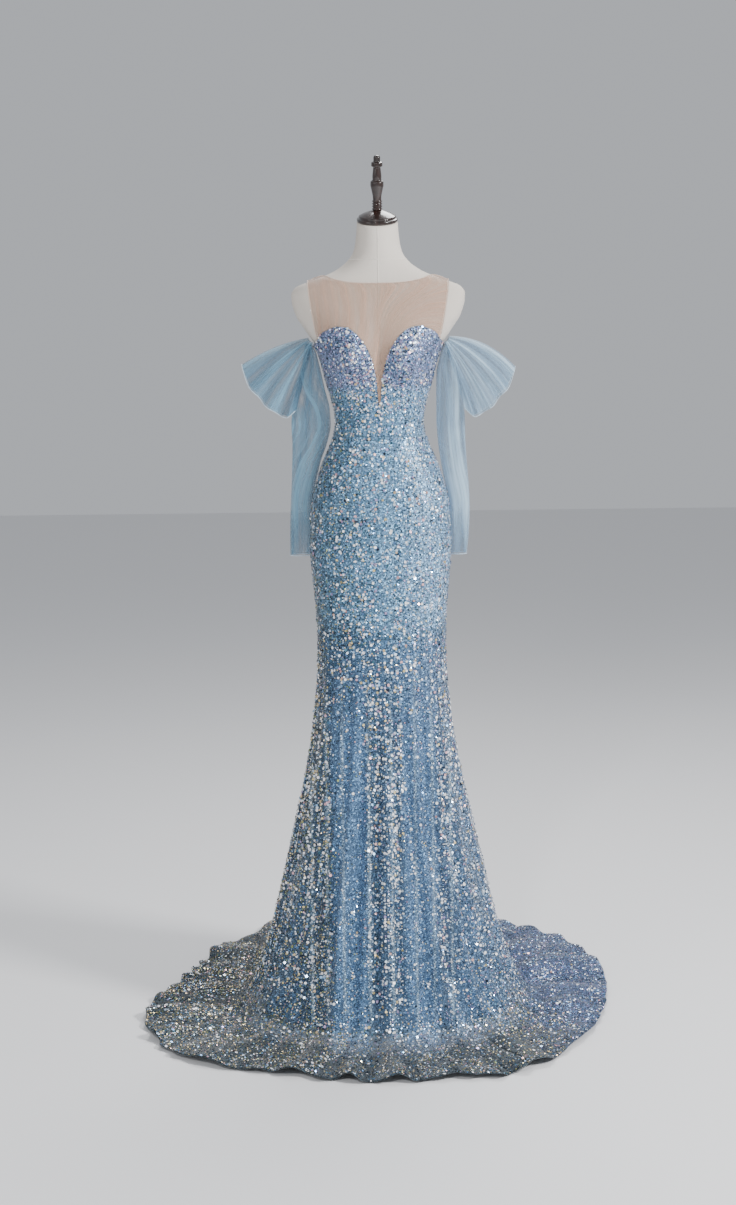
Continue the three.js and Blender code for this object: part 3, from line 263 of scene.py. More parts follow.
# How often each foil is found in the parts of the gown, and among the large discs. The darker mix of the
# wearer's right is painted shade and the paler mix of the left painted light.
FOIL_MIX = {
    # The large discs are mostly white and silver: partly real foils, partly painted glints.
    "large": [.0, .0, .03, .10, .24, .45, .04, .09, .05, .0],
    "cups": [.20, .04, .18, .13, .09, .07, .26, .02, .01, .0],
    "middle": [.14, .14, .21, .23, .12, .10, .03, .01, .02, .0],
    "right": [.32, .12, .06, .08, .09, .09, .01, .03, .10, .10],
    "left": [.14, .03, .15, .19, .22, .13, .10, .02, .02, .0],
    "train": [.36, .09, .28, .10, .04, .02, .11, .0, .0, .0],
    # The hem's mostly dark mix is painted shade of the cloth laid on the floor.
    "hem": [.60, .12, .05, .04, .03, .03, .01, .03, .06, .03],
}

# The mesh ground: its tints by height, across the front and part by part, and where each part starts and is
# whole. Across the front it is painted shade on the wearer's right and painted light on the left. ACROSS
# makes a share of x, 0 at 0.2 m on the wearer's right and 1 at 0.2 m on the left.
ACROSS = 2.5
CELLS_PER_METRE = 430
MESH = {
    "body": [(0.0, (0.10, 0.20, 0.35)), (0.30, (0.10, 0.18, 0.30)), (0.80, (0.11, 0.20, 0.33)),
             (0.95, (0.13, 0.27, 0.43)), (1.0, (0.13, 0.27, 0.43))],
    "side": [(0.12, (0.50, 0.52, 0.50)), (0.36, (0.72, 0.78, 0.78)), (0.50, (0.95, 1.0, 1.0)),
             (0.74, (1.35, 1.20, 1.15)), (1.0, (1.35, 1.20, 1.15))],
    "cups": (0.17, 0.19, 0.36), "dark_panel": (0.055, 0.085, 0.11), "clear_panel": (0.14, 0.27, 0.46),
    # The hem tint is painted shade of the cloth laid on the floor.
    "hem": (0.016, 0.032, 0.044), "lobe": (0.050, 0.082, 0.19), "fold_highlight": (0.50, 0.68, 0.80),
    # Random tones of the cells; the top stop, four times the tint, gives painted glints.
    "cell_tones_and_glints": [(0.0, 0.2), (0.6, 0.9), (0.9, 1.8), (0.97, 4.0)],
    "cups_from": (1.395, 1.42), "faced_from": (-0.02, -0.08), "panels_from": (0.86, 0.66),
    "lying_far": (0.27, 0.36), "lying_low": (0.13, 0.07), "lobe_from": (0.10, 0.42),
    "fold_highlight_from": (0.05, 0.09), "backed_from": (0.86, 0.92),
}
# Bands in a metre of a wave texture of scale 1, and how far patterns are drawn out along their three axes
WAVE_BANDS = 3.2
TULLE_STREAKS = (95, 5, 1)
LINEN_SLUBS = ((900, 900, 90), (120, 120, 1400))
WOOD_GRAIN = (90, 90, 12)

# The turned cap and finial: radius and height above the neck's cut
CAP = {"r": [.0425, .0445, .044, .0405, .0405, .034, .025, .015, .0115],
       "h": [0, .003, .007, .009, .012, .016, .020, .0235, .025]}
BEADS = {"count": 4, "radius": .0113, "neck": .0092, "pitch": .0055, "start": .0253}
FINIAL = {"r": [.0095, .0128, .0145, .0142, .0097, .010, .008, .0123, .012, .0074, .0074, .005],
          "h": [.054, .071, .079, .086, .091, .098, .117, .120, .127, .130, .138, .142]}
CAP_GAP = 0.0003

FLOOR_HALF = 12
# Square lamps: name, place, what they face, edge and power in watts
LAMPS = (
    ("key_light", (3.0, -2.0, 2.9), (0, 0, 0.8), 0.8, 215),
    ("fill_light", (-3.0, -2.6, 2.0), (0, 0, 0.9), 1.6, 18),
    ("sparkle_light", (-0.8, -3.8, 2.8), (0, 0, 0.8), 0.3, 60),
    ("top_light", (0.4, 1.6, 3.6), (0, 0, 1.0), 1.4, 70),
)
CAMERA = {"distance": 4.4, "height": 1.55, "aside": -0.0295, "down": 8.0, "roll": -0.66, "lens": 59.84}


def lerp(a, b, t):
    return a + (b - a) * t


def smoothstep(value, start, whole):
    """0 up to the start and 1 from where it is whole, which may lie below the start, eased between them."""
    t = np.clip((value - start) / (whole - start), 0, 1)
    return t * t * (3 - 2 * t)


def fade(value, name):
    """How far a value has come through one of the named fades, from 0 to 1."""
    return smoothstep(value, *FADES[name])


def bell(distance, width):
    """1 in the middle, falling away on both sides like a bell: a Gaussian of that width."""
    return np.exp(-0.5 * (distance / width) ** 2)


def wrap(angle):
    """An angle brought between -180 and 180 degrees."""
    return (angle + 540) % 360 - 180


def read(rows, key, column, at):
    """A smooth curve through a table that never overshoots its rows: cubic pieces whose slope at each row
    is the harmonic mean of the slopes beside it."""
    x = np.asarray(rows[key], float)
    y = np.asarray(rows[column], float)
    if x[0] > x[-1]:
        x, y = x[::-1], y[::-1]
    at = np.clip(at, x[0], x[-1])
    step = np.diff(x)
    slope = np.diff(y) / step
    product = slope[:-1] * slope[1:]
    total = slope[:-1] + slope[1:]
    inner = np.divide(2 * product, total, out=np.zeros_like(product), where=product > 0)
    tangent = np.concatenate([slope[:1], inner, slope[-1:]])
    i = np.clip(np.searchsorted(x, at, side="right") - 1, 0, len(step) - 1)
    s = (at - x[i]) / step[i]
    return ((2 * s**3 - 3 * s**2 + 1) * y[i] + (s**3 - 2 * s**2 + s) * step[i] * tangent[i]
            + (3 * s**2 - 2 * s**3) * y[i + 1] + (s**3 - s**2) * step[i] * tangent[i + 1])


def signed_power(value, exponent):
    """A power of the size that keeps the sign."""
    return np.sign(value) * np.abs(value) ** exponent


def oval(half, front, back, power, angle):
    """x and y on an oval section, whose half axes are half, and front or back."""
    c = np.cos(np.radians(angle))
    s = np.sin(np.radians(angle))
    return half * signed_power(c, 2 / power), np.where(s < 0, front, back) * signed_power(s, 2 / power)


def angle_of_x(half, power, x, side):
    """The angle at which an oval is x from the middle line, on its front (side -1) or back (side 1)."""
    share = np.minimum(1, np.abs(x) / half)
    angle = np.degrees(np.arccos(share ** (power / 2)))
    return side * np.where(x < 0, 180 - angle, angle)


def section(rows, z, columns=("half", "front", "back", "power")):
    """The columns of a table of sections, read at a height."""
    return [read(rows, "z", column, z) for column in columns]


def figure_point(angle, z):
    """The figure that the gown is cut for: an oval at each height, with the cups added in front and the
    neck's cut leaning forwards."""
    angle, z = np.broadcast_arrays(np.asarray(angle, float), np.asarray(z, float))
    x, y = oval(*section(FIGURE, z), angle)
    front = np.maximum(0, -np.sin(np.radians(angle)))
    tall = np.where(z > CUP["height"], CUP["above"], CUP["below"])
    cup = CUP["rise"] * bell(np.abs(x) - CUP["apart"], CUP["wide"]) * bell(z - CUP["height"], tall)
    tilt = smoothstep(z, NECK_TILT_START, NECK_TOP) * math.tan(NECK_TILT)
    return np.stack([x, y - cup * np.sqrt(front), z + y * tilt], -1)


def unit(vectors):
    return vectors / np.maximum(np.linalg.norm(vectors, axis=-1, keepdims=True), 1e-12)


def off_figure(angle, z, distance):
    """A point of the figure moved out along its normal."""
    around = figure_point(angle + 0.5, z) - figure_point(angle - 0.5, z)
    up = figure_point(angle, z + 0.0005) - figure_point(angle, z - 0.0005)
    return figure_point(angle, z) + unit(np.cross(around, up)) * np.asarray(distance)[..., None]


def fold_shape(angle):
    """The skirt's folds round the figure: bells at the ridges over a sunk base."""
    away = wrap(angle[..., None] - np.array(FOLDS["angle"]))
    ridge = (np.array(FOLDS["height"]) + FOLD_VALLEY) * bell(away, np.array(FOLDS["width"]) * FOLD_SHARPNESS)
    return ridge.sum(-1) - FOLD_VALLEY


def drop_shape(x, y, z):
    """The narrow folds that hang straight down the front, as a height over the cloth between them."""
    ridge = np.array(DROPS["height"]) * bell(x[..., None] - np.array(DROPS["x"]), DROPS["width"])
    return ridge.sum(-1) * fade(z, "drops_down") * fade(z, "drops_end") * fade(-y, "drops_front")


def clear_shape(x, y, z):
    """How clear the front is of sequins, from 0 to 1: the panels, which fade out at the thighs and the
    floor."""
    return (read(PANELS, "x", "clear", x) * fade(-y, "clear_front") * fade(z, "clear_down")
            * fade(z, "clear_end"))


def wander(turn, rule):
    """A slow sine round the figure that sets waves a little nearer or further apart."""
    return rule["by"] * np.sin(rule["count"] * turn)


def hem_wave(angle):
    """The hem's small waves, from -1 to 1: uneven round the hem, and calm where HEM_CALM says."""
    turn = np.radians(angle)
    uneven = np.cos(HEM_UNEVEN["count"] * turn + math.radians(HEM_UNEVEN["turned"]))
    uneven = lerp(1, uneven, HEM_UNEVEN["share"])
    calm = 1 - sum(share * bell(wrap(angle - at), width) for at, width, share in zip(*HEM_CALM.values()))
    return calm * uneven * np.cos(HEM_WAVES * turn + wander(turn, HEM_WANDER))


def floor_lift(angle, spread, shape, wave):
    """How high the laid cloth lies over the floor: ripples that go on from the folds, a wavy edge, loose
    mounds and a row of soft lumps near the hem."""
    turn = np.radians(angle)
    ripple = lerp(*FLOOR_RIPPLE, spread) * np.maximum(0, shape) + HEM_WAVE_LIFT * (1 + wave) * spread**3
    rise = np.sin(np.pi * np.minimum(1, spread))
    mound = sum(lift * bell(wrap(angle - at), width * 0.6) * rise * bell(spread - middle, MOUND_LENGTH)
                for at, width, lift, middle in zip(*MOUNDS.values()))
    lump = HEM_LUMP["lift"] * np.maximum(0, np.cos(HEM_LUMP["count"] * turn + wander(turn, LUMP_WANDER)))
    lump = lump * (1 - bell(wrap(angle - HEM_LUMP["calm"]), HEM_LUMP["calm_width"]))
    return ripple + mound + lump * bell(spread - HEM_LUMP["spread"], HEM_LUMP["length"]) * spread


def skirt_point(angle, z, spread):
    """The skirt's outer face: an oval with folds while it stands, then a straight run over the floor to the
    hem, with the folds fading, loose mounds and a wavy hem."""
    angle, z, spread = np.broadcast_arrays(np.asarray(angle, float), z, spread)
    on_figure = z >= SKIRT["z"][0]
    half, front, back, power = (
        np.where(on_figure, figure + ease, skirt)
        for figure, skirt, ease in zip(section(FIGURE, z), section(SKIRT, z), [EASE + CLOTH] * 3 + [0]))
    fold = np.where(on_figure, 0, read(SKIRT, "z", "fold", z))
    shape = fold_shape(angle)
    x, y = oval(half, front, back, power, angle)
    out = unit(np.stack([x, y], -1))
    standing = fade(z, "standing")
    crease = CREASE_HEIGHT * np.sin(np.radians(CREASE_WAVES * angle) + 9 * z) * fade(z, "creases")
    push = (fold * shape + crease) * standing + drop_shape(x, y, z)
    turn = np.radians(angle)
    wave = hem_wave(angle)
    reach = read(HEM, "angle", "reach", wrap(angle)) + HEM_WAVE_REACH * wave
    laid = lerp(z, CLOTH, np.minimum(1, spread * FLOOR_SETTLE)) + floor_lift(angle, spread, shape, wave)
    stood = z + (1 - standing) * fold * np.maximum(0, shape)
    return np.stack([
        lerp(x + out[..., 0] * push, reach * np.cos(turn), spread),
        lerp(y + out[..., 1] * push, reach * np.sin(turn), spread),
        lerp(stood, laid, fade(spread, "laid")),
    ], -1)


def grid(across, down):
    """Parameters u and v from 0 to 1 on a grid, row by row."""
    return np.meshgrid(np.linspace(0, 1, across), np.linspace(0, 1, down))


def surface_normals(surface, u, v):
    """Unit normals of surface(u, v) from differences a little to each side, kept inside the surface."""
    e = 2e-3
    along = surface(np.clip(u + e, 0, 1), v) - surface(np.clip(u - e, 0, 1), v)
    down = surface(u, np.clip(v + e, 0, 1)) - surface(u, np.clip(v - e, 0, 1))
    return unit(np.cross(along, down)), unit(along)


def new_object(name, vertices, faces, uv=None, smooth=True):
    """A mesh object at the origin, with one place on its UV map for each vertex."""
    mesh = bpy.data.meshes.new(name)
    mesh.from_pydata(vertices.reshape(-1, 3), [], faces)
    if uv is not None:
        layer = mesh.uv_layers.new(name="UVMap")
        index = np.empty(len(mesh.loops), np.int32)
        mesh.loops.foreach_get("vertex_index", index)
        layer.data.foreach_set("uv", uv.reshape(-1, 2)[index].astype(np.float32).ravel())
    mesh.polygons.foreach_set("use_smooth", np.full(len(mesh.polygons), smooth))
    mesh.update()
    piece = bpy.data.objects.new(name, mesh)
    bpy.context.scene.collection.objects.link(piece)
    return piece


def grid_faces(down, across, closed=False):
    """Quads between neighbouring rows and columns of a grid, round to the first column if it is closed."""
    row = np.arange(down - 1)[:, None]
    column = np.arange(across if closed else across - 1)[None, :]
    after = (column + 1) % across
    corners = [row * across + column, (row + 1) * across + column, (row + 1) * across + after,
               row * across + after]
    return np.stack(np.broadcast_arrays(*corners), -1).reshape(-1, 4)


def sheet_lengths(points, closed=False):
    """Lengths along the rows and the columns of a grid of points, and its area."""
    if closed:
        points = np.concatenate([points, points[:, :1]], 1)
    across = np.linalg.norm(np.diff(points, axis=1), axis=-1)
    down = np.linalg.norm(np.diff(points, axis=0), axis=-1)
    edge_a = points[1:, :-1] - points[:-1, 1:]
    edge_b = points[1:, 1:] - points[:-1, :-1]
    area = 0.5 * np.linalg.norm(np.cross(edge_a, edge_b), axis=-1).sum()
    return across, down, area


def settle(piece, material, slot, *replaced):
    """A finished piece's material and body, and the solids that it stands for, hidden. The slot is not used.
    """
    piece.data.materials.append(material)
    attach(piece, BODY)
    if replaced:
        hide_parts(*replaced)
    return piece


def end_caps(rows, sides):
    """One face over each end of a tube of rings."""
    last = (rows - 1) * sides
    return [list(range(sides)), [last + i for i in reversed(range(sides))]]


def add_cloth(name, points, material, slot, thickness, outward, closed=False, replaces=(),
              gathered=False):
    """A thin closed shell on a grid of points. UVs are metres along the cloth, so a weave keeps its size.
    On a gathered piece each column keeps its place across, so the threads run out from the gathers."""
    across, down, area = sheet_lengths(points, closed)
    u = np.concatenate([np.zeros((len(points), 1)), np.cumsum(across, 1)], 1)[:, :points.shape[1]]
    v = np.concatenate([np.zeros((1, down.shape[1])), np.cumsum(down, 0)], 0)[:, :points.shape[1]]
    if gathered:
        u = np.broadcast_to(np.median(u, 0), u.shape)
    faces = grid_faces(*points.shape[:2], closed)
    first = points.reshape(-1, 3)[faces]
    normal = np.cross(first[:, 2] - first[:, 0], first[:, 3] - first[:, 1])
    if (normal * outward(first.mean(1))).sum() < 0:
        faces = faces[:, ::-1]
    piece = new_object(name, points, faces.tolist(), np.stack([u, v], -1))
    shell = piece.modifiers.new("Thickness", "SOLIDIFY")
    shell.thickness = thickness
    shell.offset = -1
    settle(piece, material, slot, *replaces)
    return piece


def tube(name, path, radius, material, slot, sides=8, closed=False):
    """A round strip carried along a path of points: rings across the path's direction."""
    forward = unit(np.roll(path, -1, 0) - np.roll(path, 1, 0) if closed else np.gradient(path, axis=0))
    spare = np.where(np.abs(forward[:, 2:3]) > 0.9, np.array([[1.0, 0, 0]]), np.array([[0, 0, 1.0]]))
    side = unit(np.cross(forward, spare))
    up = np.cross(side, forward)
    turn = np.linspace(0, 2 * np.pi, sides, endpoint=False)
    ring = np.cos(turn)[None, :, None] * side[:, None] + np.sin(turn)[None, :, None] * up[:, None]
    if closed:
        faces = (grid_faces(len(path) + 1, sides, closed=True) % (len(path) * sides)).tolist()
    else:
        faces = grid_faces(len(path), sides, closed=True).tolist() + end_caps(len(path), sides)
    piece = new_object(name, path[:, None] + radius * ring, [face[::-1] for face in faces])
    return settle(piece, material, slot)


def turned(name, radii, heights, material, slot, replaced, place, sides=64):
    """A turned solid: a profile of radius and height, smoothed and revolved, then leant with the neck's
    cut."""
    angle = np.linspace(0, 2 * np.pi, sides, endpoint=False)
    r = np.concatenate([[POINT_RADIUS], radii, [POINT_RADIUS]])[:, None]
    h = np.concatenate([[heights[0]], heights, [heights[-1]]])[:, None]
    points = place(np.stack(np.broadcast_arrays(r * np.cos(angle), r * np.sin(angle), h), -1))
    faces = grid_faces(len(r), sides, closed=True).tolist() + end_caps(len(r), sides)
    return settle(new_object(name, points, [face[::-1] for face in faces]), material, slot, replaced)


# Materials

def new_material(name):
    """A material with its node tree and its shader."""
    material = bpy.data.materials.new(name)
    material.use_nodes = True
    tree = material.node_tree
    return material, tree, tree.nodes["Principled BSDF"]


def feed(tree, made, **values):
    """A node's settings and inputs, which are named with spaces as underscores. A socket among them is
    linked."""
    for key, value in values.items():
        if hasattr(made, key):
            setattr(made, key, value)
        elif isinstance(value, bpy.types.NodeSocket):
            tree.links.new(value, made.inputs[key.replace("_", " ")])
        else:
            made.inputs[key.replace("_", " ")].default_value = value


def node(tree, kind, **values):
    """A new node, fed at once."""
    made = tree.nodes.new(kind)
    feed(tree, made, **values)
    return made


def parts_of(tree, vector):
    """The three parts of a place or a colour."""
    return node(tree, "ShaderNodeSeparateXYZ", Vector=vector).outputs


def calculate(tree, operation, *values):
    """One step of arithmetic on sockets and numbers."""
    made = node(tree, "ShaderNodeMath", operation=operation)
    for i, value in enumerate(values):
        if isinstance(value, (int, float)):
            made.inputs[i].default_value = value
        else:
            tree.links.new(value, made.inputs[i])
    return made.outputs[0]


def product(tree, first, *others):
    """Two or more values multiplied."""
    for other in others:
        first = calculate(tree, "MULTIPLY", first, other)
    return first


def share_between(tree, value, low, high, first=0, last=1):
    """The first value up to low, the last one from high, and even between."""
    return node(tree, "ShaderNodeMapRange", Value=value, From_Min=low, From_Max=high, To_Min=first,
                To_Max=last).outputs[0]


def ramp(tree, factor, stops):
    """A colour that changes with a value. A plain number in a stop is a grey."""
    made = node(tree, "ShaderNodeValToRGB", Fac=factor)
    elements = made.color_ramp.elements
    while len(elements) < len(stops):
        elements.new(0.5)
    for element, (place, colour) in zip(elements, stops):
        element.position = place
        element.color = (*colour, 1) if isinstance(colour, tuple) else (colour, colour, colour, 1)
    return made.outputs["Color"]


def two_tints(tree, factor, dark, light):
    """A soft change from a dark tint to a light one."""
    return ramp(tree, factor, [(0.3, dark), (0.7, light)])


def shade(tree, colour, by):
    """A colour made lighter or darker by another, part by part."""
    made = node(tree, "ShaderNodeVectorMath", operation="MULTIPLY")
    tree.links.new(colour, made.inputs[0])
    tree.links.new(by, made.inputs[1])
    return made.outputs[0]


def blend(tree, share, first, second):
    """A colour on its way from the first to the second. Either may be a socket or a plain colour."""
    made = node(tree, "ShaderNodeMix", data_type="RGBA")
    tree.links.new(share, made.inputs[0])
    for socket, colour in ((made.inputs[6], first), (made.inputs[7], second)):
        if isinstance(colour, tuple):
            socket.default_value = (*colour, 1)
        else:
            tree.links.new(colour, socket)
    return made.outputs[2]


def pattern(tree, kind, source="Object", stretch=None, **values):
    """A texture on the piece's Object or UV coordinates, which a stretch draws out."""
    place = node(tree, "ShaderNodeTexCoord").outputs[source]
    if stretch:
        place = node(tree, "ShaderNodeMapping", Vector=place, Scale=stretch).outputs[0]
    return node(tree, kind, Vector=place, **values)


def noise(tree, scale, detail, source="Object", stretch=None, distortion=0):
    """Soft noise on a piece's coordinates, from 0 to 1."""
    return pattern(tree, "ShaderNodeTexNoise", source, stretch, Scale=scale, Detail=detail,
                   Distortion=distortion).outputs["Fac"]


def emboss(tree, shader, height, strength, depth):
    """Lets a height raise the surface in the shader."""
    bump = node(tree, "ShaderNodeBump", Strength=strength, Distance=depth, Height=height)
    feed(tree, shader, Normal=bump.outputs["Normal"])


def weave(tree, shader, pitch, strength):
    """Warp and weft: two sets of sine bands on the cloth's own UVs, added up into the bump."""
    scale = 1 / pitch / WAVE_BANDS
    warp, weft = (pattern(tree, "ShaderNodeTexWave", "UV", bands_direction=way, Scale=scale,
                          Distortion=0.6).outputs["Fac"] for way in "XY")
    emboss(tree, shader, calculate(tree, "ADD", warp, weft), strength, pitch)


def sequin_material():
    """Small foil discs. Each has its own place on the UV map: across picks its tint and down its gloss."""
    material, tree, shader = new_material("sequin_foil")
    tint, gloss, _ = parts_of(tree, node(tree, "ShaderNodeTexCoord").outputs["UV"])
    stops = [((i + 0.5) / len(FOILS), colour) for i, colour in enumerate(FOILS)]
    feed(tree, shader, Base_Color=ramp(tree, tint, stops), Metallic=ramp(tree, tint, FOIL_METAL),
         Roughness=share_between(tree, gloss, 0, 1, 0.12, 0.42), Coat_Weight=0.3, Coat_Roughness=0.1)
    return material


def body_tint(tree, x, y, z, height):
    """The mesh on the figure and down the standing skirt: by height, darker on the wearer's right as painted
    shade and lighter on the left as painted light, lavender on the cups, with clear and dark panels in front."""
    across = calculate(tree, "MULTIPLY_ADD", x, ACROSS, 0.5)
    # Painted light: the side ramp darkens the wearer's right as painted shade and lightens the left.
    tint = shade(tree, ramp(tree, height, MESH["body"]), ramp(tree, across, MESH["side"]))
    tint = blend(tree, product(tree, share_between(tree, z, *MESH["cups_from"]), 0.7), tint, MESH["cups"])
    panels = [(ACROSS * at + 0.5, float(value)) for at, value in zip(PANELS["x"], PANELS["clear"])]
    panel = blend(tree, ramp(tree, across, panels), MESH["dark_panel"], MESH["clear_panel"])
    faced = product(tree, share_between(tree, y, *MESH["faced_from"]),
                    share_between(tree, height, *MESH["panels_from"]))
    return blend(tree, product(tree, faced, 0.75), tint, panel), across, faced


def sequin_ground():
    """The fine mesh under the sequins, strewn with tiny ones: cells a few millimetres wide, each lighter or
    darker, the brightest few painted glints. It is backed down to the thighs and sheer below. Pale lines
    follow the narrow folds of the front as painted highlights, and the part that lies on the floor is dark as
    painted shade, but lavender blue on the train's left lobe."""
    material, tree, shader = new_material("sequin_mesh_ground")
    place = node(tree, "ShaderNodeTexCoord")
    x, y, z = parts_of(tree, place.outputs["Object"])
    height = calculate(tree, "MULTIPLY_ADD", noise(tree, 14.0, 3), 0.05, z)
    tint, across, faced = body_tint(tree, x, y, z, height)

    flat = node(tree, "ShaderNodeCombineXYZ", X=x, Y=y).outputs[0]
    far = node(tree, "ShaderNodeVectorMath", operation="LENGTH", Vector=flat).outputs["Value"]
    lying = product(tree, share_between(tree, far, *MESH["lying_far"]),
                    share_between(tree, height, *MESH["lying_low"]))
    lobe = share_between(tree, calculate(tree, "MULTIPLY_ADD", y, 0.6, x), *MESH["lobe_from"])
    # Painted shade: the part that lies on the floor is darker.
    tint = blend(tree, lying, tint, blend(tree, lobe, MESH["hem"], MESH["lobe"]))

    # Painted highlights: pale lines along the narrow folds of the front.
    edges = [(ACROSS * drop + 0.5 + beside, grey) for drop in DROPS["x"]
             for beside, grey in ((-0.011, 0.0), (0.002, 1.0), (0.013, 0.0))]
    threads = product(tree, ramp(tree, across, edges), faced,
                      share_between(tree, height, *MESH["fold_highlight_from"]), 0.6)
    tint = blend(tree, threads, tint, MESH["fold_highlight"])

    cells = node(tree, "ShaderNodeTexVoronoi", Scale=CELLS_PER_METRE, Vector=place.outputs["UV"])
    chance = parts_of(tree, cells.outputs["Color"])
    backed = share_between(tree, height, *MESH["backed_from"])
    opaque = calculate(tree, "MAXIMUM", backed, product(tree, lying, 0.9))
    # The cells lighten and darken the tint at random; the brightest are painted glints.
    feed(tree, shader, Base_Color=shade(tree, tint, ramp(tree, chance["X"], MESH["cell_tones_and_glints"])),
         Alpha=calculate(tree, "MAXIMUM", opaque, 0.42), Roughness=0.42, Metallic=0.25, Sheen_Weight=0.3)
    emboss(tree, shader, chance["Y"], 0.5, 0.0009)
    return material


def tulle_material(name, dark, light, alpha, contrast=1.0):
    """Fine sheer net, with long soft streaks down the cloth where it bunches, broad ones with finer ones in
    them."""
    material, tree, shader = new_material(name)
    fine, broad = (noise(tree, scale, detail, "UV", TULLE_STREAKS) for scale, detail in ((1.0, 4), (0.45, 1)))
    streaks = calculate(tree, "MULTIPLY_ADD", calculate(tree, "SUBTRACT", broad, 0.5), contrast, fine)
    thin, dense = (0.55 - 0.2 * contrast) * alpha, (1.6 + 0.7 * contrast) * alpha
    feed(tree, shader, Base_Color=two_tints(tree, streaks, dark, light),
         Alpha=share_between(tree, streaks, 0.28, 0.74, thin, dense),
         Roughness=0.7, Sheen_Weight=0.5, Specular_IOR_Level=0.2)
    weave(tree, shader, 0.0009, 0.2)
    return material


def plain_cloth(name, dark, light, roughness, pitch, strength, sheen=0.2):
    """Woven cloth in one colour, with soft darker clouds."""
    material, tree, shader = new_material(name)
    feed(tree, shader, Base_Color=two_tints(tree, noise(tree, 9.0, 5), dark, light), Roughness=roughness,
         Sheen_Weight=sheen)
    weave(tree, shader, pitch, strength)
    return material


def linen_material():
    """Unbleached linen stretched over the form: slubs along and across it, and soft darker clouds."""
    material, tree, shader = new_material("form_linen_cover")
    slubs = calculate(tree, "ADD", *(noise(tree, 1.0, 2, stretch=stretch) for stretch in LINEN_SLUBS))
    tint = two_tints(tree, noise(tree, 7.0, 4), (0.57, 0.52, 0.46), (0.66, 0.61, 0.55))
    feed(tree, shader, Base_Color=tint, Roughness=0.85)
    emboss(tree, shader, slubs, 0.35, 0.0004)
    return material


def wood_material():
    """Dark varnished wood: long grain along the turning, under a clear coat."""
    material, tree, shader = new_material("varnished_dark_wood")
    grain = noise(tree, 1.0, 6, stretch=WOOD_GRAIN, distortion=0.8)
    tint = two_tints(tree, grain, (0.006, 0.003, 0.002), (0.026, 0.009, 0.006))
    feed(tree, shader, Base_Color=tint, Roughness=0.28, Coat_Weight=0.8, Coat_Roughness=0.08)
    return material


def metal_material(name, colour, roughness, metallic, scratches):
    """Metal or enamel with fine wear in its gloss."""
    material, tree, shader = new_material(name)
    worn = share_between(tree, noise(tree, scratches, 6), 0.3, 0.7, roughness - 0.06, roughness + 0.08)
    feed(tree, shader, Base_Color=(*colour, 1), Metallic=metallic, Roughness=worn)
    return material


FOIL = sequin_material()
GROUND = sequin_ground()
LINING_SATIN = plain_cloth(
    "blue_lining_satin", (0.07, 0.17, 0.38), (0.12, 0.27, 0.52), 0.42, 0.0008, 0.15, 0.4)
# Lit and shaded copies of one tulle: the right-hand one darker as painted shade, the left-hand one paler as
# painted light.
TULLE_SHADED_RIGHT = tulle_material("tulle_shaded_right_side", (0.04, 0.13, 0.23), (0.22, 0.43, 0.58), 0.27)
TULLE_LIT_LEFT = tulle_material("tulle_lit_left_side", (0.10, 0.22, 0.36), (0.46, 0.64, 0.78), 0.27)
NUDE_NET = tulle_material("nude_net", (0.46, 0.27, 0.18), (0.60, 0.38, 0.27), 0.30, 0.25)
NET_EDGE = plain_cloth("nude_net_binding", (0.50, 0.38, 0.31), (0.60, 0.48, 0.41), 0.8, 0.0006, 0.2)
TULLE_EDGE = plain_cloth("tulle_rolled_hem", (0.42, 0.54, 0.64), (0.58, 0.68, 0.76), 0.7, 0.0006, 0.2)
LINEN = linen_material()
SEAM_LINEN = plain_cloth("form_seam_linen", (0.70, 0.66, 0.60), (0.78, 0.74, 0.68), 0.85, 0.0008, 0.3)
WOOD = wood_material()
CHROME = metal_material("plated_pole", (0.72, 0.74, 0.76), 0.16, 1.0, 60)
ENAMEL = metal_material("base_enamel", (0.03, 0.03, 0.035), 0.38, 0.0, 40)
ZIP_METAL = metal_material("zip_plating", (0.62, 0.65, 0.70), 0.26, 1.0, 300)
ZIP_CLOTH = plain_cloth("zip_tape_weave", (0.22, 0.33, 0.48), (0.30, 0.41, 0.56), 0.7, 0.0008, 0.3)


# Sequins

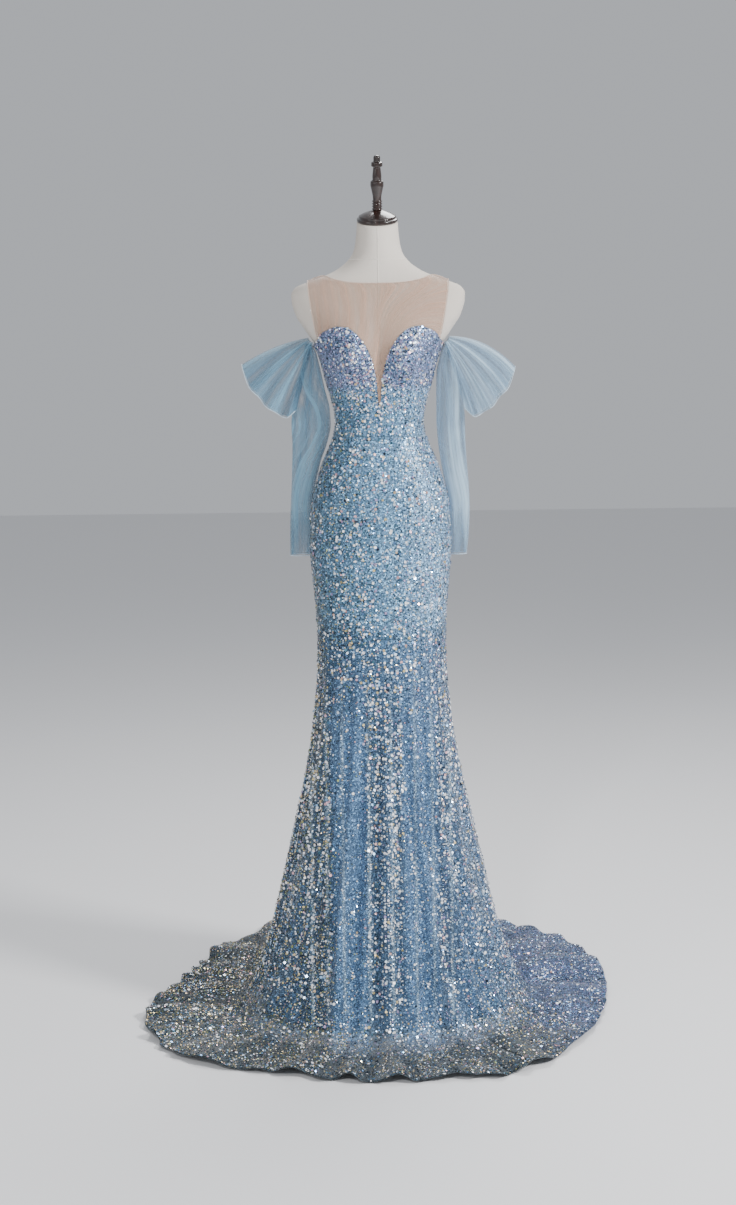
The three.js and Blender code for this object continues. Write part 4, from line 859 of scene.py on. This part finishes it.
def sequin_tints(points, large, streak, rng):
    """A tint for each disc: the mixes of the parts of the gown, blended by place, with more bright foils on
    the folds' ridges as painted highlights and more dark ones in the valleys between as painted shade."""
    x, y, z = points[..., 0], points[..., 1], points[..., 2]
    cups = fade(z - 0.35 * (np.abs(x) - CUP["apart"])**2 / CUP["apart"], "cup_foils")
    low = fade(z, "floor_foils") * fade(np.hypot(x, y), "floor_foils_out")
    train = low * fade(x + y * 0.6, "train_foils")
    rest = (1 - cups) * (1 - low)
    # Painted light: the wearer's right takes the darker foils as painted shade, the left the paler ones.
    right = rest * fade(-x, "shaded_right_foils")
    left = rest * fade(x, "lit_left_foils")
    shares = {"cups": cups, "train": train, "hem": low - train, "right": right, "left": left,
              "middle": rest - right - left}
    weights = sum(share[:, None] * np.array(FOIL_MIX[name]) for name, share in shares.items())
    weights = np.where(large[:, None], lerp(np.array(FOIL_MIX["large"]), weights, 0.15), weights)
    drop = drop_shape(x, y, z)
    clear = clear_shape(x, y, z)
    # Painted light: more pale and white foils on the folds' ridges and the narrow folds, more dark ones in
    # the valleys.
    ridge = np.clip(fold_shape(np.degrees(np.arctan2(y, x))), -0.3, 0.8) * fade(z, "fold_light_foils") + 160 * drop
    ridge = ridge * (1 + 0.9 * low) + 0.6 * streak
    changes = (
        ("dark", np.clip(1.3 - 1.1 * ridge, 0.15, 1.8)),
        ("blue", 1 + 1.6 * clear),
        ("white_highlights", np.clip(0.75 + 0.9 * ridge, 0.3, 2.2)),
        ("pale", 1 + 350 * drop),
        ("gold", 1 + 1.5 * (1 - clear) * fade(z, "gold_foils")),
    )
    for group, factor in changes:
        weights[:, FOIL_GROUPS[group]] *= factor[:, None]
    total = np.cumsum(weights, 1)
    pick = (rng.uniform(0, 1, len(x)) * total[:, -1])[:, None] > total
    return (pick.sum(1) + rng.uniform(0.2, 0.8, len(x))) / len(FOILS)


def sequin_strings(points, v, pitch, rng):
    """Where the discs sit on a surface of 0 to 1 both ways: on strings that run down it. A string starts
    where the cloth has grown wide enough for one more, so the discs stay one pitch or so apart."""
    middle = points[:, points.shape[1] // 2]
    run = np.concatenate([[0], np.cumsum(np.linalg.norm(np.diff(middle, axis=0), axis=-1))])
    rows = int(run[-1] / pitch)
    row_v = np.interp((np.arange(rows) + 0.5) * run[-1] / rows, run, v)
    widths = np.linalg.norm(np.diff(points, axis=1), axis=-1).sum(1)
    wanted = np.maximum(1, np.interp(row_v, v, widths) / pitch)
    first = math.ceil(wanted.min())
    doublings = math.ceil(math.log2(wanted.max() / first)) if wanted.max() > first else 0
    string = np.arange(first * 2**doublings)
    halvings = np.log2(np.where(string == 0, 2**doublings, string & -string))
    level = doublings - np.minimum(halvings, doublings)
    start = np.where(level > 0, first * 2.0 ** (level - rng.uniform(0, 1, len(string))), 0)
    row, at = np.nonzero(wanted[:, None] >= start)
    kept = rng.uniform(0, 1, len(row)) > DROPPED_SHARE
    row, at = row[kept], at[kept]
    u = (at + 0.5) / len(string) + rng.normal(0, 0.20, len(row)) / wanted[row]
    v = row_v[row] + (0.5 * (at % 2) + rng.normal(0, 0.22, len(row))) / rows
    return np.clip(u, 0.004, 0.996), np.clip(v, 0.003, 0.997), at, len(string)


def add_sequins(name, surface, seed, outward, pitch=SEQUIN_PITCH):
    """Six-sided discs on strings down surface(u, v). Each is tipped a little at random and rides just above
    the cloth. Every fourth string is rich in large ones, and the clear panels have few discs."""
    rng = np.random.default_rng(seed)
    u, v = grid(40, 300)
    u, v, at, strings = sequin_strings(surface(u, v), v[:, 0], pitch, rng)
    count = len(u)
    centre = surface(u, v)
    normal, along = surface_normals(surface, u, v)
    normal *= np.sign((normal * outward(centre)).sum(-1, keepdims=True))
    streak = STREAK * np.convolve(rng.normal(0, 1, strings), [0.5, 1, 0.5], "same")
    lower = fade(centre[:, 2], "strings")
    clear = clear_shape(*centre.T)
    on_string = np.where(at % 4 == 0, LARGE_SHARE["rich"], LARGE_SHARE["plain"])
    on_string *= (1 - 0.7 * fade(centre[:, 2], "few_large")) * (1.3 - clear)
    large = rng.uniform(0, 1, count) < lerp(LARGE_SHARE["upper"], on_string, lower)
    tilt = SEQUIN_TILT * np.where(large, 0.6, 1)[:, None]
    tipped = unit(normal + tilt * rng.normal(0, 1, normal.shape) * (1 - np.abs(normal) * 0.5))
    across = unit(along - tipped * (along * tipped).sum(-1, keepdims=True))
    other = np.cross(tipped, across)
    turn = rng.uniform(0, np.pi / 3, count)[:, None] + np.arange(6) * np.pi / 3
    radius = np.where(large, LARGE_RADIUS, SEQUIN_RADIUS) * rng.uniform(0.75, 1.05, count)
    radius = radius * pitch / SEQUIN_PITCH
    lift = np.where(large, *SEQUIN_LIFT)[:, None]
    corners = (centre + normal * lift)[:, None] + radius[:, None, None] * (
        np.cos(turn)[..., None] * across[:, None] + np.sin(turn)[..., None] * other[:, None])
    shown = rng.uniform(0, 1, count) >= CLEAR_SHARE * clear
    chance = np.stack([sequin_tints(centre, large, streak[at] * lower, rng), rng.uniform(0, 1, count)], -1)
    faces = np.arange(shown.sum() * 6).reshape(-1, 6).tolist()
    piece = new_object(name, corners[shown], faces, np.repeat(chance[shown], 6, axis=0), smooth=False)
    return settle(piece, FOIL, "sequin_mesh")


def from_axis(points):
    """Outwards for the gown's body: away from the pole, and up where the cloth lies on the floor."""
    low = fade(points[..., 2], "on_floor")[..., None]
    return unit(points * np.array([1.0, 1.0, 0.0])) * (1 - low) + np.array([0, 0, 2.0]) * low


# The skirt

STANDING_SHARE = 0.83


def skirt_path(v):
    """Height and floor share down a gore: it stands for the first part, then lies on the floor."""
    z = lerp(WAIST_SEAM - SEAM_GAP / 2, FLOOR_BEND, np.clip(v / STANDING_SHARE, 0, 1))
    return z, np.clip((v - STANDING_SHARE) / (1 - STANDING_SHARE), 0, 1)


def gore_surface(start, end):
    """A gore of the skirt between two seams, which leave room for the zip above its foot."""
    def surface(u, v):
        z, spread = skirt_path(v)
        half = np.where(z >= SKIRT["z"][0], section(FIGURE, z)[0], section(SKIRT, z)[0])
        near = np.degrees(SEAM_GAP / 2 / (SKIRT_RADIUS_SHARE * half))
        zip_angle = 90 - angle_of_x(half, ZIP_POWER, np.full_like(half, ZIP_EDGE), 1)
        open_zip = z >= ZIP_BOTTOM
        first = start + np.where(open_zip & (start == CENTRE_BACK), zip_angle, near)
        last = end - np.where(open_zip & (end == CENTRE_BACK), zip_angle, near)
        return skirt_point(lerp(first, last, u), z, spread)
    return surface


GORES = [
    ("skirt_front", -180 - PRINCESS_SEAM, PRINCESS_SEAM),
    ("skirt_side_left", PRINCESS_SEAM, SIDE_SEAM),
    ("skirt_side_right", 180 - SIDE_SEAM, 180 - PRINCESS_SEAM),
    ("skirt_back_left", SIDE_SEAM, CENTRE_BACK),
    ("skirt_back_right", CENTRE_BACK, 180 - SIDE_SEAM),
]


def make_skirt():
    """Five gores of mesh cloth, each with its own sequins."""
    for number, (name, start, end) in enumerate(GORES):
        surface = gore_surface(start, end)
        across = int(abs(end - start) * 1.1)
        points = surface(*grid(across, 130))
        add_cloth(f"{name}_cloth", points, GROUND, "sequin_mesh", THICK["mesh"], from_axis,
                  replaces=[name])
        add_sequins(f"{name}_sequins", surface, SEEDS["skirt"] + number, from_axis)


def make_lining():
    """The plain lining of the flared part: the skirt's own section drawn in, with broad waves."""
    u, v = grid(121, 50)
    z = lerp(LINING["top"], LINING["hem"], v)
    half, front, back, power = section(SKIRT, z)
    depth = np.clip((LINING["top"] - z) / LINING["loose_below"], 0, 1)
    inset = np.where(z > LINING["top"] - 0.001, LINING["seam_inset"], lerp(*LINING["inset"], depth))
    inset = CLOTH + inset + LINING["foot_inset"] * fade(z, "lining_foot")
    shrink = inset + lerp(*LINING["wave"], depth) * (1 + np.cos(np.radians(LINING["waves"] * 360 * u)))
    x, y = oval(half - shrink, front - shrink, back - shrink, power, 360 * u)
    points = np.stack([x, y, z], -1)[:, :-1]
    add_cloth("skirt_lining_cloth", points, LINING_SATIN, "blue_lining", THICK["lining"], from_axis,
              closed=True, replaces=["skirt_lining"])


# The bodice

def side_of(angle, side):
    """A left-hand panel's angle, mirrored for the right-hand one."""
    return angle if side > 0 else 180 - angle


def panel_surface(columns, side):
    """A bodice panel: columns of angle and top height at even shares of u, from the top edge down to the
    waist."""
    def surface(u, v):
        z = lerp(read(columns, "u", "top", u), WAIST_SEAM + SEAM_GAP / 2, v)
        near = np.degrees(SEAM_GAP / 2 / WAIST_RADIUS)
        edge = np.degrees(ZIP_EDGE / section(FIGURE, z)[0]) if columns["angle"][-1] == CENTRE_BACK else near
        low, high = columns["angle"][0] + near, columns["angle"][-1] - edge
        angle = np.clip(read(columns, "u", "angle", u), low, high)
        points = off_figure(side_of(angle, side), z, EASE + CLOTH)
        points[..., 2] = z
        return points
    return surface


def bodice_panels():
    """Each panel's columns: the front follows the sweetheart edge, the others the plain top edge."""
    front_z = np.array(SWEETHEART["z"])
    half, _, _, power = section(FIGURE, front_z)
    angles = angle_of_x(half, power, np.array(SWEETHEART["x"]), -1)
    panels = {"front": {"angle": [*angles, PRINCESS_SEAM], "top": [*front_z, TOP_EDGE["z"][0]]}}
    for name, columns in PANEL_ANGLES.items():
        panels[name] = {"angle": columns, "top": read(TOP_EDGE, "angle", "z", np.array(columns, float))}
    for panel in panels.values():
        start, end = panel["angle"][0], panel["angle"][-1]
        panel["u"] = (np.array(panel["angle"]) - start) / (end - start)
    return panels


def make_bodice():
    """Six panels of mesh cloth with closer sequins. The front ones have more columns beside the notch."""
    for number, (name, columns) in enumerate(bodice_panels().items()):
        for label, side in (("left", 1), ("right", -1)):
            surface = panel_surface(columns, side)
            u, v = grid(60, 44)
            if name == "front":
                u = u**1.6
            piece = f"bodice_{name}_{label}"
            add_cloth(f"{piece}_cloth", surface(u, v), GROUND, "sequin_mesh", THICK["mesh"],
                      from_axis, replaces=[piece])
            add_sequins(f"{piece}_sequins", surface, SEEDS["bodice"] + 2 * number + (side > 0), from_axis,
                        BODICE_PITCH)


# The yoke

def shoulder_height(x):
    """Height of the shoulder line at a distance from the middle, by halving."""
    low, high = SHOULDER_HEIGHTS
    for _ in range(40):
        middle = (low + high) / 2
        if section(FIGURE, np.array(middle))[0] > x:
            low = middle
        else:
            high = middle
    return (low + high) / 2


def yoke_surface(columns, armhole, neckline, face):
    """The net yoke between the bodice's edge and the neckline: each column keeps its share of the way to the
    armhole, and the rows lie closer together towards the shoulder."""
    tops = []
    for share in columns["share"]:
        edge = abs(share) * armhole["x"][-1]
        if edge > NECKLINE_SIDE["x"]:
            tops.append(float(shoulder_height(edge)) - 0.0002)
        else:
            tops.append(lerp(neckline, NECKLINE_SIDE["z"], (edge / NECKLINE_SIDE["x"]) ** 3))
    rows = dict(columns, top=tops)

    def surface(u, v):
        at = {key: read(rows, "u", key, u) for key in ("share", "bottom", "top", "beside")}
        z = lerp(at["bottom"], at["top"], 1 - (1 - v) ** YOKE_ROWS)
        half, _, _, power = section(FIGURE, z)
        angle = angle_of_x(half, power, at["share"] * read(armhole, "z", "x", z) + at["beside"], face)
        least = np.degrees(SEAM_GAP / 2 / NOTCH_RADIUS)
        angle = np.where(np.abs(angle) < least, face * least, angle)
        angle = np.where(180 - np.abs(angle) < least, face * (180 - least), angle)
        return off_figure(angle, z, EASE + NET)
    return surface


def make_front_yoke():
    """The front net, down into the notch, with its neckline's binding."""
    side_z = np.array(TOP_EDGE["z"][:3])
    side_x, _ = oval(*section(FIGURE, side_z), np.array(TOP_EDGE["angle"][:3], float))
    x = np.concatenate([np.maximum(0, np.array(SWEETHEART["x"]) - SEAM_GAP), side_x])
    z = np.concatenate([SWEETHEART["z"], side_z]) + YOKE_SEAM
    share = x / read(ARMHOLE_FRONT, "z", "x", z)
    share[-1] = 1
    both = np.concatenate([-share[:0:-1], share])
    columns = {"u": (both + 1) / 2, "share": both, "bottom": np.concatenate([z[:0:-1], z]),
               "beside": np.zeros_like(both)}
    surface = yoke_surface(columns, ARMHOLE_FRONT, NECKLINE_FRONT, -1)
    u, v = grid(161, 45)
    points = surface(0.5 + 0.5 * signed_power(2 * u - 1, NOTCH_CROWDING), v)
    add_cloth("yoke_front_net", points, NUDE_NET, "nude_net", THICK["net"], from_axis,
              replaces=["yoke_front"])
    tube("yoke_neck_binding_front", points[-1, 5:-5], BINDING_RADIUS, NET_EDGE, "nude_net")
    return points


def make_yoke():
    """The nets of front and back, their neck bindings, and the bindings round the armholes."""
    front_points = make_front_yoke()
    angles = np.array(BACK_YOKE_ANGLES, float)
    top = read(TOP_EDGE, "angle", "z", angles)
    reach, _ = oval(*section(FIGURE, top), angles)
    share = reach / reach[0]
    for label, side in (("left", 1), ("right", -1)):
        columns = {"u": share, "share": side * share, "bottom": top + YOKE_SEAM,
                   "beside": side * ZIP_EDGE * (1 - share)}
        points = yoke_surface(columns, ARMHOLE_BACK, NECKLINE_BACK, 1)(*grid(60, 40))
        add_cloth(f"yoke_back_{label}_net", points, NUDE_NET, "nude_net", THICK["net"],
                  from_axis, replaces=[f"yoke_back_{label}"])
        tube(f"yoke_neck_binding_back_{label}", points[-1, :-4], BINDING_RADIUS, NET_EDGE, "nude_net")
        armhole = np.concatenate([points[:, -1], front_points[::-1, -1 if side > 0 else 0]])
        tube(f"yoke_armhole_binding_{label}", armhole[2:-2], ARMHOLE_BINDING_RADIUS, NET_EDGE, "nude_net")


# Sleeves and flounces

def sleeve_points(rows, side, u, v):
    """A flattened tube: an oval at each height with a few soft lengthwise creases, gathered at its top."""
    z = lerp(rows["z"][0], rows["z"][-1], v)
    inner, outer, middle, depth = section(rows, z, ("inner", "outer", "middle", "depth"))
    angle = 2 * np.pi * u
    creased = (1 - np.cos(SLEEVE_CREASES * angle + 3 * v)) / 2 * np.sin(np.pi * np.minimum(1, v + 0.15))
    gathered = (1 - np.cos(SLEEVE_GATHERS * angle)) / 2 * bell(v, 0.12)
    soft = (1 + np.sin(3 * angle + 14 * v + side)) / 2
    drawn_in = ((1 - SLEEVE_CREASE_SHARE * creased) * (1 - SLEEVE_GATHER_SHARE * gathered)
                * (1 - SLEEVE_SOFT_SHARE * soft))
    return np.stack([
        side * ((inner + outer) / 2 + (outer - inner) / 2 * drawn_in * np.cos(angle)),
        middle + depth * drawn_in * np.sin(angle),
        z,
    ], -1)


def flounce_points(flounce, side, u, v):
    """Two layers that fall from one ridge: a fan of angles from the gathers, with folds that grow to the
    hem."""
    share = signed_power(2 * u - 1, 1.25)
    q = np.abs(share)
    droop = np.radians(lerp(lerp(flounce["ridge_start"], flounce["ridge_end"], v), flounce["lowest"], q**0.9))
    fold = 2 * np.pi * FLOUNCE_FOLDS * q
    wave = FLOUNCE_HEM_WAVE * np.cos(fold) * v**2
    reach = lerp(FLOUNCE_START, flounce["scale"] * read(FLOUNCE_REACH, "share", "reach", q) + wave, v)
    rounded = (1 - (1 - q) ** 2.4) ** 0.5
    fine = FLOUNCE_FINE_FOLD * np.sin(4.3 * fold + 2 * v) * np.minimum(1, 3 * v)
    ripple = (FLOUNCE_FOLD_HEIGHT * v * np.sin(fold) + fine) * np.minimum(1, 4 * q)
    depth = read(FLOUNCE_DEPTH, "share", "depth", v)
    return np.stack([
        side * (flounce["x"] + reach * np.cos(droop)),
        np.sign(share) * (depth * rounded + ripple),
        flounce["z"] - reach * np.sin(droop),
    ], -1)


def off_flounce(points):
    return points * np.array([0, 1.0, 0]) + np.array([0, 0, 0.01])


def make_sleeves():
    """Both sleeves and the flounces over their tops, with rolled hems."""
    for label, side, rows, flounce, net in (("left", 1, SLEEVE_LEFT, FLOUNCE_LEFT, TULLE_LIT_LEFT),
                                            ("right", -1, SLEEVE_RIGHT, FLOUNCE_RIGHT, TULLE_SHADED_RIGHT)):
        points = sleeve_points(rows, side, *grid(97, 70))[:, :-1]
        middle = points.mean(1)

        def off_sleeve(at, middle=middle):
            x, y = (np.interp(-at[..., 2], -middle[:, 2], middle[:, axis]) for axis in (0, 1))
            return at - np.stack([x, y, at[..., 2]], -1)

        add_cloth(f"sleeve_{label}_tulle", points, net, "blue_tulle", THICK["tulle"], off_sleeve,
                  closed=True, replaces=[f"sleeve_{label}"])
        tube(f"sleeve_{label}_cuff_hem", points[-1], CUFF_HEM_RADIUS, TULLE_EDGE, "blue_tulle", closed=True)
        fan = flounce_points(flounce, side, *grid(161, 50))
        add_cloth(f"flounce_{label}_tulle", fan, net, "blue_tulle", THICK["tulle"], off_flounce,
                  replaces=[f"flounce_{label}"], gathered=True)
        tube(f"flounce_{label}_hem", fan[-1], FLOUNCE_HEM_RADIUS, TULLE_EDGE, "blue_tulle")


# The form

def form_inset(z):
    """How far the form lies inside the figure: less on the neck, and more where the bodice hides it."""
    bare = lerp(FORM_INSET, NECK_INSET, fade(z, "neck_inset"))
    inset = lerp(COVERED_INSET, bare, fade(z, "bare_inset"))
    return np.where(z > FORM["cap_seat"], 0, inset)


def make_form():
    """The form's linen cover, closed at its foot and neck, and its raised sewn lines."""
    u, v = grid(129, 150)
    z = lerp(NECK_TOP, FORM["bottom"], v)
    points = off_figure(360 * u, z, -form_inset(z))[:, :-1]
    rows, sides = points.shape[:2]
    uv = np.stack(np.broadcast_arrays(u[:, :-1] * FORM["girth"], z[:, :-1]), -1)
    faces = grid_faces(rows, sides, closed=True).tolist() + end_caps(rows, sides)
    settle(new_object("form_torso_cover", points, faces, uv), LINEN, "form_linen", "form_torso")

    heights = np.linspace(*FORM["seam"], 120)
    for name, angle in (("front", CENTRE_FRONT), ("back", CENTRE_BACK)):
        line = off_figure(angle, heights, SEAM_RISE - form_inset(heights))
        tube(f"form_seam_{name}", line, 0.0007, SEAM_LINEN, "form_linen", sides=6)
    around = np.linspace(0, 360, 120, endpoint=False)
    neck = off_figure(around, FORM["neck_seam"], SEAM_RISE - form_inset(FORM["neck_seam"]))
    tube("form_neck_seam", neck, 0.0006, SEAM_LINEN, "form_linen", closed=True)


def on_neck(points):
    """From the cap's own upright frame to the neck's leaning cut."""
    c, s = math.cos(NECK_TILT), math.sin(NECK_TILT)
    x, y, z = points[..., 0], points[..., 1], points[..., 2] + CAP_GAP
    return np.stack([x, y * c - z * s, NECK_TOP + y * s + z * c], -1)


def rounded_profile(radii, heights, steps=6):
    """A profile's corners cut and eased by sampling a smooth curve between its points."""
    at = np.arange(len(radii), dtype=float)
    rows = {"at": at, "r": radii, "h": heights}
    fine = np.linspace(0, at[-1], (len(radii) - 1) * steps + 1)
    return read(rows, "at", "r", fine), read(rows, "at", "h", fine)


def make_turnings():
    """The neck's cap and the beaded finial, turned in dark wood."""
    cap = rounded_profile(CAP["r"], CAP["h"])
    turned("form_neck_cap_turning", *cap, WOOD, "dark_wood", "form_neck_cap", on_neck)
    steps = np.arange(2 * BEADS["count"] + 1)
    bead_r = np.where(steps % 2, BEADS["radius"], BEADS["neck"])
    bead_h = BEADS["start"] + steps / 2 * BEADS["pitch"]
    finial = rounded_profile([*bead_r, *FINIAL["r"]], [*bead_h, *FINIAL["h"]])
    turned("form_finial_turning", *finial, WOOD, "dark_wood", "form_finial", on_neck)


def make_stand():
    """Materials for the solids that the CAD already gives their last shape."""
    for name, material in (
            ("form_stand_pole", CHROME), ("form_stand_base", ENAMEL), ("zip_slider", ZIP_METAL),
            ("zip_pull_tab", ZIP_METAL), ("zip_tape", ZIP_CLOTH)):
        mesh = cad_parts[name].data
        mesh.materials.clear()
        mesh.materials.append(material)


def make_zip_teeth():
    """The zip's coil: a fine ridge of short teeth down the tape's middle, each a small box beside the
    last."""
    heights = np.arange(ZIP_BOTTOM + TEETH["from_foot"], TEETH["top"], TEETH["pitch"])
    centre = off_figure(CENTRE_BACK, heights, EASE + TEETH["rise"])
    corner = np.array([[x, y, z] for x in (-1, 1) for y in (0, 1) for z in (-1, 1)], float)
    points = centre[:, None] + corner * TEETH["half_size"]
    points[..., 0] += (np.where(np.arange(len(heights)) % 2, 1, -1) * TEETH["aside"])[:, None]
    box = np.array([[0, 1, 3, 2], [4, 6, 7, 5], [0, 4, 5, 1], [2, 3, 7, 6], [0, 2, 6, 4], [1, 5, 7, 3]])
    faces = (box[None] + 8 * np.arange(len(heights))[:, None, None]).reshape(-1, 4)
    settle(new_object("zip_teeth", points, faces.tolist(), smooth=False), ZIP_METAL, "zip_metal")


# Floor, light and camera

def make_studio():
    """A pale floor under a soft daylight sky, and four square lamps that face the gown."""
    mesh = bpy.data.meshes.new("studio_floor")
    corners = [(x * FLOOR_HALF, y * FLOOR_HALF, 0) for x, y in ((-1, -1), (1, -1), (1, 1), (-1, 1))]
    mesh.from_pydata(corners, [], [(0, 1, 2, 3)])
    floor = bpy.data.objects.new("studio_floor", mesh)
    bpy.context.scene.collection.objects.link(floor)
    material, tree, shader = new_material("pale_floor")
    feed(tree, shader, Base_Color=(0.80, 0.80, 0.81, 1), Roughness=0.8)
    mesh.materials.append(material)
    world = bpy.data.worlds.new("studio")
    world.use_nodes = True
    feed(world.node_tree, world.node_tree.nodes["Background"], Color=(0.80, 0.83, 0.88, 1), Strength=0.6)
    bpy.context.scene.world = world
    for name, place, target, size, power in LAMPS:
        light = bpy.data.lights.new(name, "AREA")
        light.size = size
        light.energy = power
        lamp = bpy.data.objects.new(name, light)
        lamp.location = place
        direction = np.array(target) - np.array(place)
        yaw = math.atan2(direction[1], direction[0]) - math.pi / 2
        pitch = math.atan2(direction[2], math.hypot(direction[0], direction[1])) + math.pi / 2
        lamp.rotation_euler = (pitch, 0, yaw)
        bpy.context.scene.collection.objects.link(lamp)


def make_camera():
    """The camera of the photo: tipped down about X, then rolled about its own axis."""
    camera = bpy.data.cameras.new("camera")
    camera.lens = CAMERA["lens"]
    camera.sensor_width = 36
    holder = bpy.data.objects.new("camera", camera)
    bpy.context.scene.collection.objects.link(holder)
    holder.location = (CAMERA["aside"], -CAMERA["distance"], CAMERA["height"])
    pitch = math.radians(90 - CAMERA["down"])
    roll = math.radians(CAMERA["roll"])
    holder.rotation_mode = "QUATERNION"
    half_pitch, half_roll = pitch / 2, roll / 2
    holder.rotation_quaternion = (
        math.cos(half_pitch) * math.cos(half_roll), math.sin(half_pitch) * math.cos(half_roll),
        -math.sin(half_pitch) * math.sin(half_roll), math.cos(half_pitch) * math.sin(half_roll))
    bpy.context.scene.camera = holder


make_camera()
make_studio()
make_stand()
make_form()
make_turnings()
make_lining()
make_skirt()
make_bodice()
make_yoke()
make_sleeves()
make_zip_teeth()
